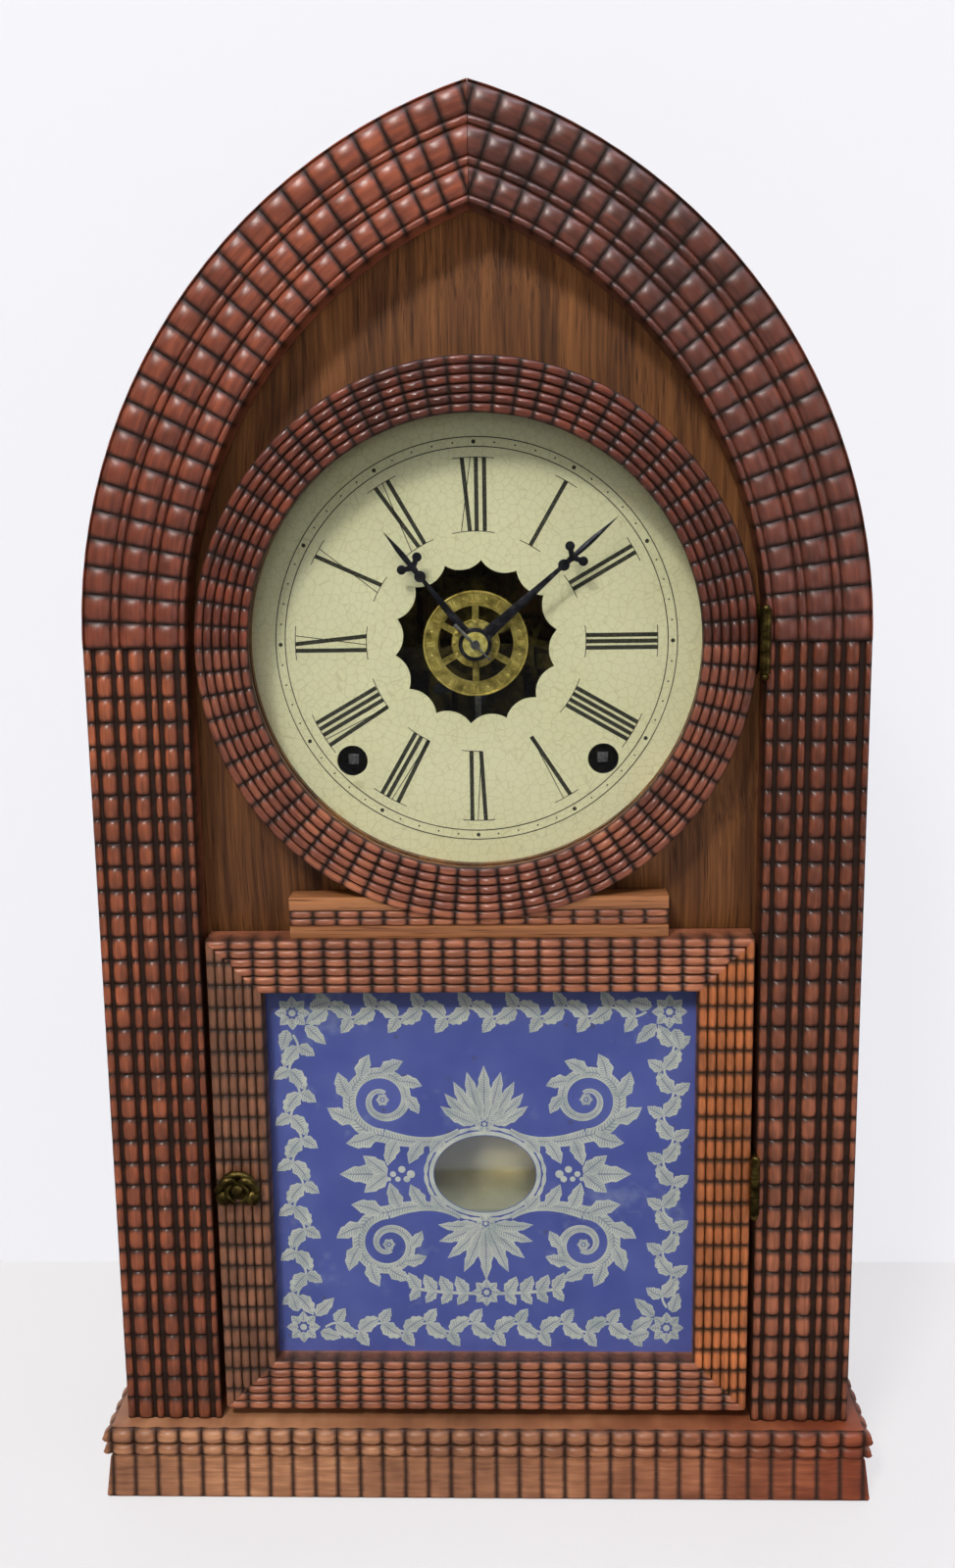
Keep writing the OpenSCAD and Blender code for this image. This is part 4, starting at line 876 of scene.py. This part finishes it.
def bar_along(bm, path, radius, steps, sides=10, flat=1.0):
    """A bar with closed ends bent along path(s), radius(s) thick, s from 0 to 1. A flat bar is
    thinner from front to back."""
    part = bmesh.new()
    bmesh.ops.create_cone(part, cap_ends=True, segments=sides, radius1=1, radius2=1, depth=1)
    edges = [e for e in part.edges if abs(e.verts[0].co.z - e.verts[1].co.z) > 0.5]
    bmesh.ops.subdivide_edges(part, edges=edges, cuts=steps - 1)
    for v in part.verts:
        s = min(1.0, max(0.0, v.co.z + 0.5))
        here, ahead = Vector(path(s)), (Vector(path(s + 0.01)) - Vector(path(s - 0.01))).normalized()
        front = Vector((0, -1, 0)) if abs(ahead.y) < 0.9 else Vector((0, 0, 1))
        across = ahead.cross(front).normalized()
        front = across.cross(ahead)
        v.co = (here + (across * v.co.x + front * v.co.y * flat) * radius(s)) * 0.001
    mesh = bpy.data.meshes.new("bar")
    part.to_mesh(mesh)
    part.free()
    bm.from_mesh(mesh)
    bpy.data.meshes.remove(mesh)


def turned(bm, x, z, profile, steps=32):
    """Spins a closed outline of (radius, y) points about the line from front to back at (x, z)."""
    ring_of = [bm.verts.new(Vector((x + r, y, z)) * 0.001) for r, y in profile]
    edges = [bm.edges.new((ring_of[i], ring_of[(i + 1) % len(ring_of)])) for i in range(len(ring_of))]
    bmesh.ops.spin(bm, geom=ring_of + edges, cent=Vector((x, 0, z)) * 0.001, axis=(0, 1, 0),
                   angle=2 * math.pi, steps=steps, use_merge=True)


def ball(bm, x, y, z, r, squash=1.0):
    """A cast round boss."""
    bmesh.ops.create_uvsphere(bm, u_segments=20, v_segments=12, radius=r * 0.001, matrix=Matrix.Translation(
        Vector((x, y, z)) * 0.001) @ Matrix.Diagonal((1, squash, 1, 1)))


# the spindle's place on the left stile
CATCH_X, CATCH_Z = 8.7 - DOOR, 118.5
bm = bmesh.new()
turned(bm, CATCH_X, CATCH_Z, [(0.02, -1.2), (4.2, -1.2), (5.0, -0.6), (5.0, 0.0), (0.02, 0.0)])
turned(bm, CATCH_X, CATCH_Z, [(0.02, -3.0), (1.5, -3.0), (1.5, 17.4), (0.02, 17.4)], 20)
for side in (-1, 1):
    ball(bm, CATCH_X + side * 4.9, -3.0, CATCH_Z - 3.0, 3.0, 0.72)
    bar_along(bm, lambda s: (CATCH_X + side * (7.2 - 7.4 * s), -3.2 - 1.2 * math.sin(math.pi * s),
                             CATCH_Z - 0.6 + 4.6 * math.sin(0.85 * math.pi * s)), lambda s: 1.35, 12)
    bar_along(bm, lambda s: (CATCH_X + side * (1.2 + 2.6 * math.sin(math.pi * s)), -4.2,
                             CATCH_Z + 3.0 - 7.4 * s), lambda s: 0.85, 10)
ball(bm, CATCH_X, -3.4, CATCH_Z + 0.2, 2.5, 0.8)
bar_along(bm, lambda s: (CATCH_X + 5.4 * math.cos(math.pi * (0.08 + 0.84 * s)), -3.0,
                         CATCH_Z + 0.8 + 4.6 * math.sin(math.pi * (0.08 + 0.84 * s))), lambda s: 1.5, 16)
block(bm, (CATCH_X - 1.5, 14.3, CATCH_Z - 3.0), (CATCH_X + 1.5, 17.4, CATCH_Z + 3.0))
block(bm, (CATCH_X - 3.0, 17.4, CATCH_Z - 3.0), (CATCH_X + 3.0, 18.4, CATCH_Z + 17.0))
finished("cast_brass_catch", bm, dark_brass, "catch", ["door_catch"], 50)


# Hands: thin steel blued by heat, each with a ridged tapering shaft, a disc, two lobes on bent
# arms and a fine point. The minute hand's boss grips a brass collet, pinned to the arbor.
# The blue has gone nearly black, with grey where it is rubbed, and shines softly.
blued_steel = mottled("blued_steel", 420.0, 4.0, [(0.35, "#222228"), (0.55, "#32323b"), (0.75, "#55545c")],
                      {"Metallic": 0.85, "Roughness": 0.42}, 0.6, bump=(0.12, 0.0001))


def hand(name, body, stands_for, turn, y, length, cross, hole, boss):
    """One hand on the ray at turn degrees, length long, its lobes a little past cross, and its
    boss a ring from hole to boss round the arbor."""
    bm = bmesh.new()

    def at(r, t=0.0):
        return on_dial(r, t, turn, y) * 1000

    turned(bm, 0, DIAL_Z, [(hole, y - 0.38), (boss - 0.25, y - 0.38), (boss, y - 0.2), (boss, y + 0.38),
                           (hole, y + 0.38)], 48)
    bar_along(bm, lambda s: at(boss - 0.4 + s * (cross - 3.6 - boss)),
              lambda s: (0.9 * boss - 3) * (1 - s) + 0.65 * s, 4, 4, 0.2)
    for r, t, size in ((cross - 4.0, 0.0, 1.95), (cross + 1.65, 3.35, 1.6), (cross + 1.65, -3.35, 1.6)):
        x, _, z = at(r, t)
        turned(bm, x, z, [(0.02, y - 0.36), (size - 0.22, y - 0.36), (size, y - 0.18), (size, y + 0.36),
                          (0.02, y + 0.36)], 28)
    for to in (-1, 1):
        bar_along(bm, lambda s: at(cross - 0.2 + 1.7 * s, to * 3.2 * s), lambda s: 1.2 - 0.3 * s, 6, 6, 0.3)
    bar_along(bm, lambda s: at(cross - 3.4 + 4.4 * s), lambda s: 0.9 + 0.6 * s, 4, 6, 0.26)
    tail = cross - 1.0

    def point(s):
        return 0.65 + 0.35 * math.sin(math.pi * min(1.0, s * 1.6)) if s < 0.45 else (1.02 - s) / 0.57

    bar_along(bm, lambda s: at(tail + s * (length - tail)), point, 14, 4, 0.35)
    finished(name, bm, blued_steel, body, [stands_for], 25)


hand("blued_minute_hand", "minute", "minute_hand", turn=48.9, y=11.4, length=63.6, cross=43.6,
     hole=3.5, boss=5.6)
hand("blued_hour_hand", "hour", "hour_hand", turn=-38.8, y=13.4, length=48.4, cross=33.2,
     hole=3.12, boss=5.0)

# Polished brass, kept bright by the hands that set it: pale yellow, with fine turning marks.
polished_brass = mottled("polished_brass_collet", 700.0, 2.0, [(0.35, "#cbb95c"), (0.65, "#f8ec98")],
                         {"Metallic": 0.6, "Roughness": 0.34})
dress(polished_brass, "hand_collet")


# Alarm disc: stamped brass, gilt once, with a raised rim, twelve numerals and a bossed hub on
# six spokes. It turns by friction on the hour pipe, behind the hour hand.
# The gilding is left on what stands up, and the ground between is duller and browner.
gilt_brass, worn_brass = (
    mottled(name, 300.0, 5.0, [(0.32, dark), (0.5, middle), (0.68, bright)],
            {"Metallic": 0.8, "Roughness": 0.44}, 0.6, bump=(0.2, 0.0001))
    for name, dark, middle, bright in (("worn_gilt_brass", "#9d8c45", "#d8c46a", "#f8e896"),
                                       ("dull_stamped_brass", "#756a30", "#b19f52", "#d6c474")))
dress(worn_brass, "alarm_disc")
bm = bmesh.new()
numerals(bm, low=14.0, high=16.7, pitch=0.85, thick=0.5, hair=0.22, y=15.45)
printed(bm, 0.0004)
for hour in range(12):
    x, _, z = on_dial(15.4, 0, hour * 30 + 15, 0) * 1000
    ball(bm, x, 15.4, z, 0.5, 0.8)
    x, _, z = on_dial(7.2, 0, hour * 30, 0) * 1000
    ball(bm, x, 15.6, z, 0.75, 0.8)
for low, high in ((17.1, 17.9), (12.9, 13.5), (7.5, 8.2)):
    turned(bm, 0, DIAL_Z, [(low, 15.6), (low + 0.2, 15.0), (high - 0.2, 15.0), (high, 15.6)], 96)
turned(bm, 0, DIAL_Z, [(5.9, 15.5), (5.9, 16.5), (8.2, 16.5), (8.2, 15.5)], 64)
finished("stamped_alarm_numerals", bm, gilt_brass, "alarm")


# Movement: stamped brass plates and cut brass wheels, tarnished olive, on steel arbors, with
# blue-black mainsprings and gong. It is screwed to the case behind the dial.
old_brass = mottled("tarnished_sheet_brass", 90.0, 6.0,
                    [(0.32, "#302a14"), (0.5, "#5c5228"), (0.7, "#91803f")],
                    {"Metallic": 1.0}, 0.68, dull=(0.6, 0.38))
dress(old_brass, "front_plate", "back_plate", "hour_pipe", "minute_wheel", "centre_wheel",
      "great_wheel_time", "second_wheel_time", "third_wheel_time", "escape_wheel",
      "great_wheel_strike", "second_wheel_strike", "third_wheel_strike", "fly")
# Ground steel: bright grey, with scratches too fine to catch the eye one by one.
steel = mottled("ground_steel", 900.0, 2.0, [(0.3, "#808084"), (0.7, "#b6b7bc")],
                {"Metallic": 1.0, "Roughness": 0.33})
dress(steel, "pillars", "centre_arbor")
# Spring steel hardened in oil: blue-black, with brown where the oil has dried.
spring_steel = mottled("oil_blacked_spring_steel", 160.0, 4.0,
                       [(0.35, "#26282d"), (0.6, "#474b55"), (0.8, "#6b5b48")],
                       {"Metallic": 0.9, "Roughness": 0.4})
dress(spring_steel, "mainspring_time", "mainspring_strike", "gong", "suspension_post", "hammer", "verge")
# the winding arbors end in filed steel squares, seen through the holes in the dial
ARBOR_X, ARBOR_Z, SQUARE = 43.5, 267.0, 3.7
for side, name, body in ((1, "right", "time_great"), (-1, "left", "strike_great")):
    bm = bmesh.new()
    block(bm, (side * ARBOR_X - SQUARE / 2, 23.6, ARBOR_Z - SQUARE / 2),
          (side * ARBOR_X + SQUARE / 2, 29.9, ARBOR_Z + SQUARE / 2), 0.3)
    finished("winding_square_" + name, bm, steel, body)
# Cast iron under baked black varnish: brown-black, with the grain of the sand it was cast in.
iron = mottled("japanned_cast_iron", 1200.0, 3.0, [(0.3, "#1d1b1a"), (0.7, "#34302d")], {"Roughness": 0.5},
               bump=(0.5, 0.0002))
dress(iron, "gong_base")


# Pendulum: a brass-faced bob on a thin steel wire, hung from the suspension spring. The bob is
# brighter than the works, under thick yellowed lacquer that has gone half matt.
bob_brass = mottled("lacquered_brass_bob", 70.0, 5.0, [(0.35, "#dcc57c"), (0.65, "#f6e4a6")],
                    {"Metallic": 0.2, "Roughness": 0.45})
dress(bob_brass, "pendulum_bob")
dress(steel, "pendulum_rod")
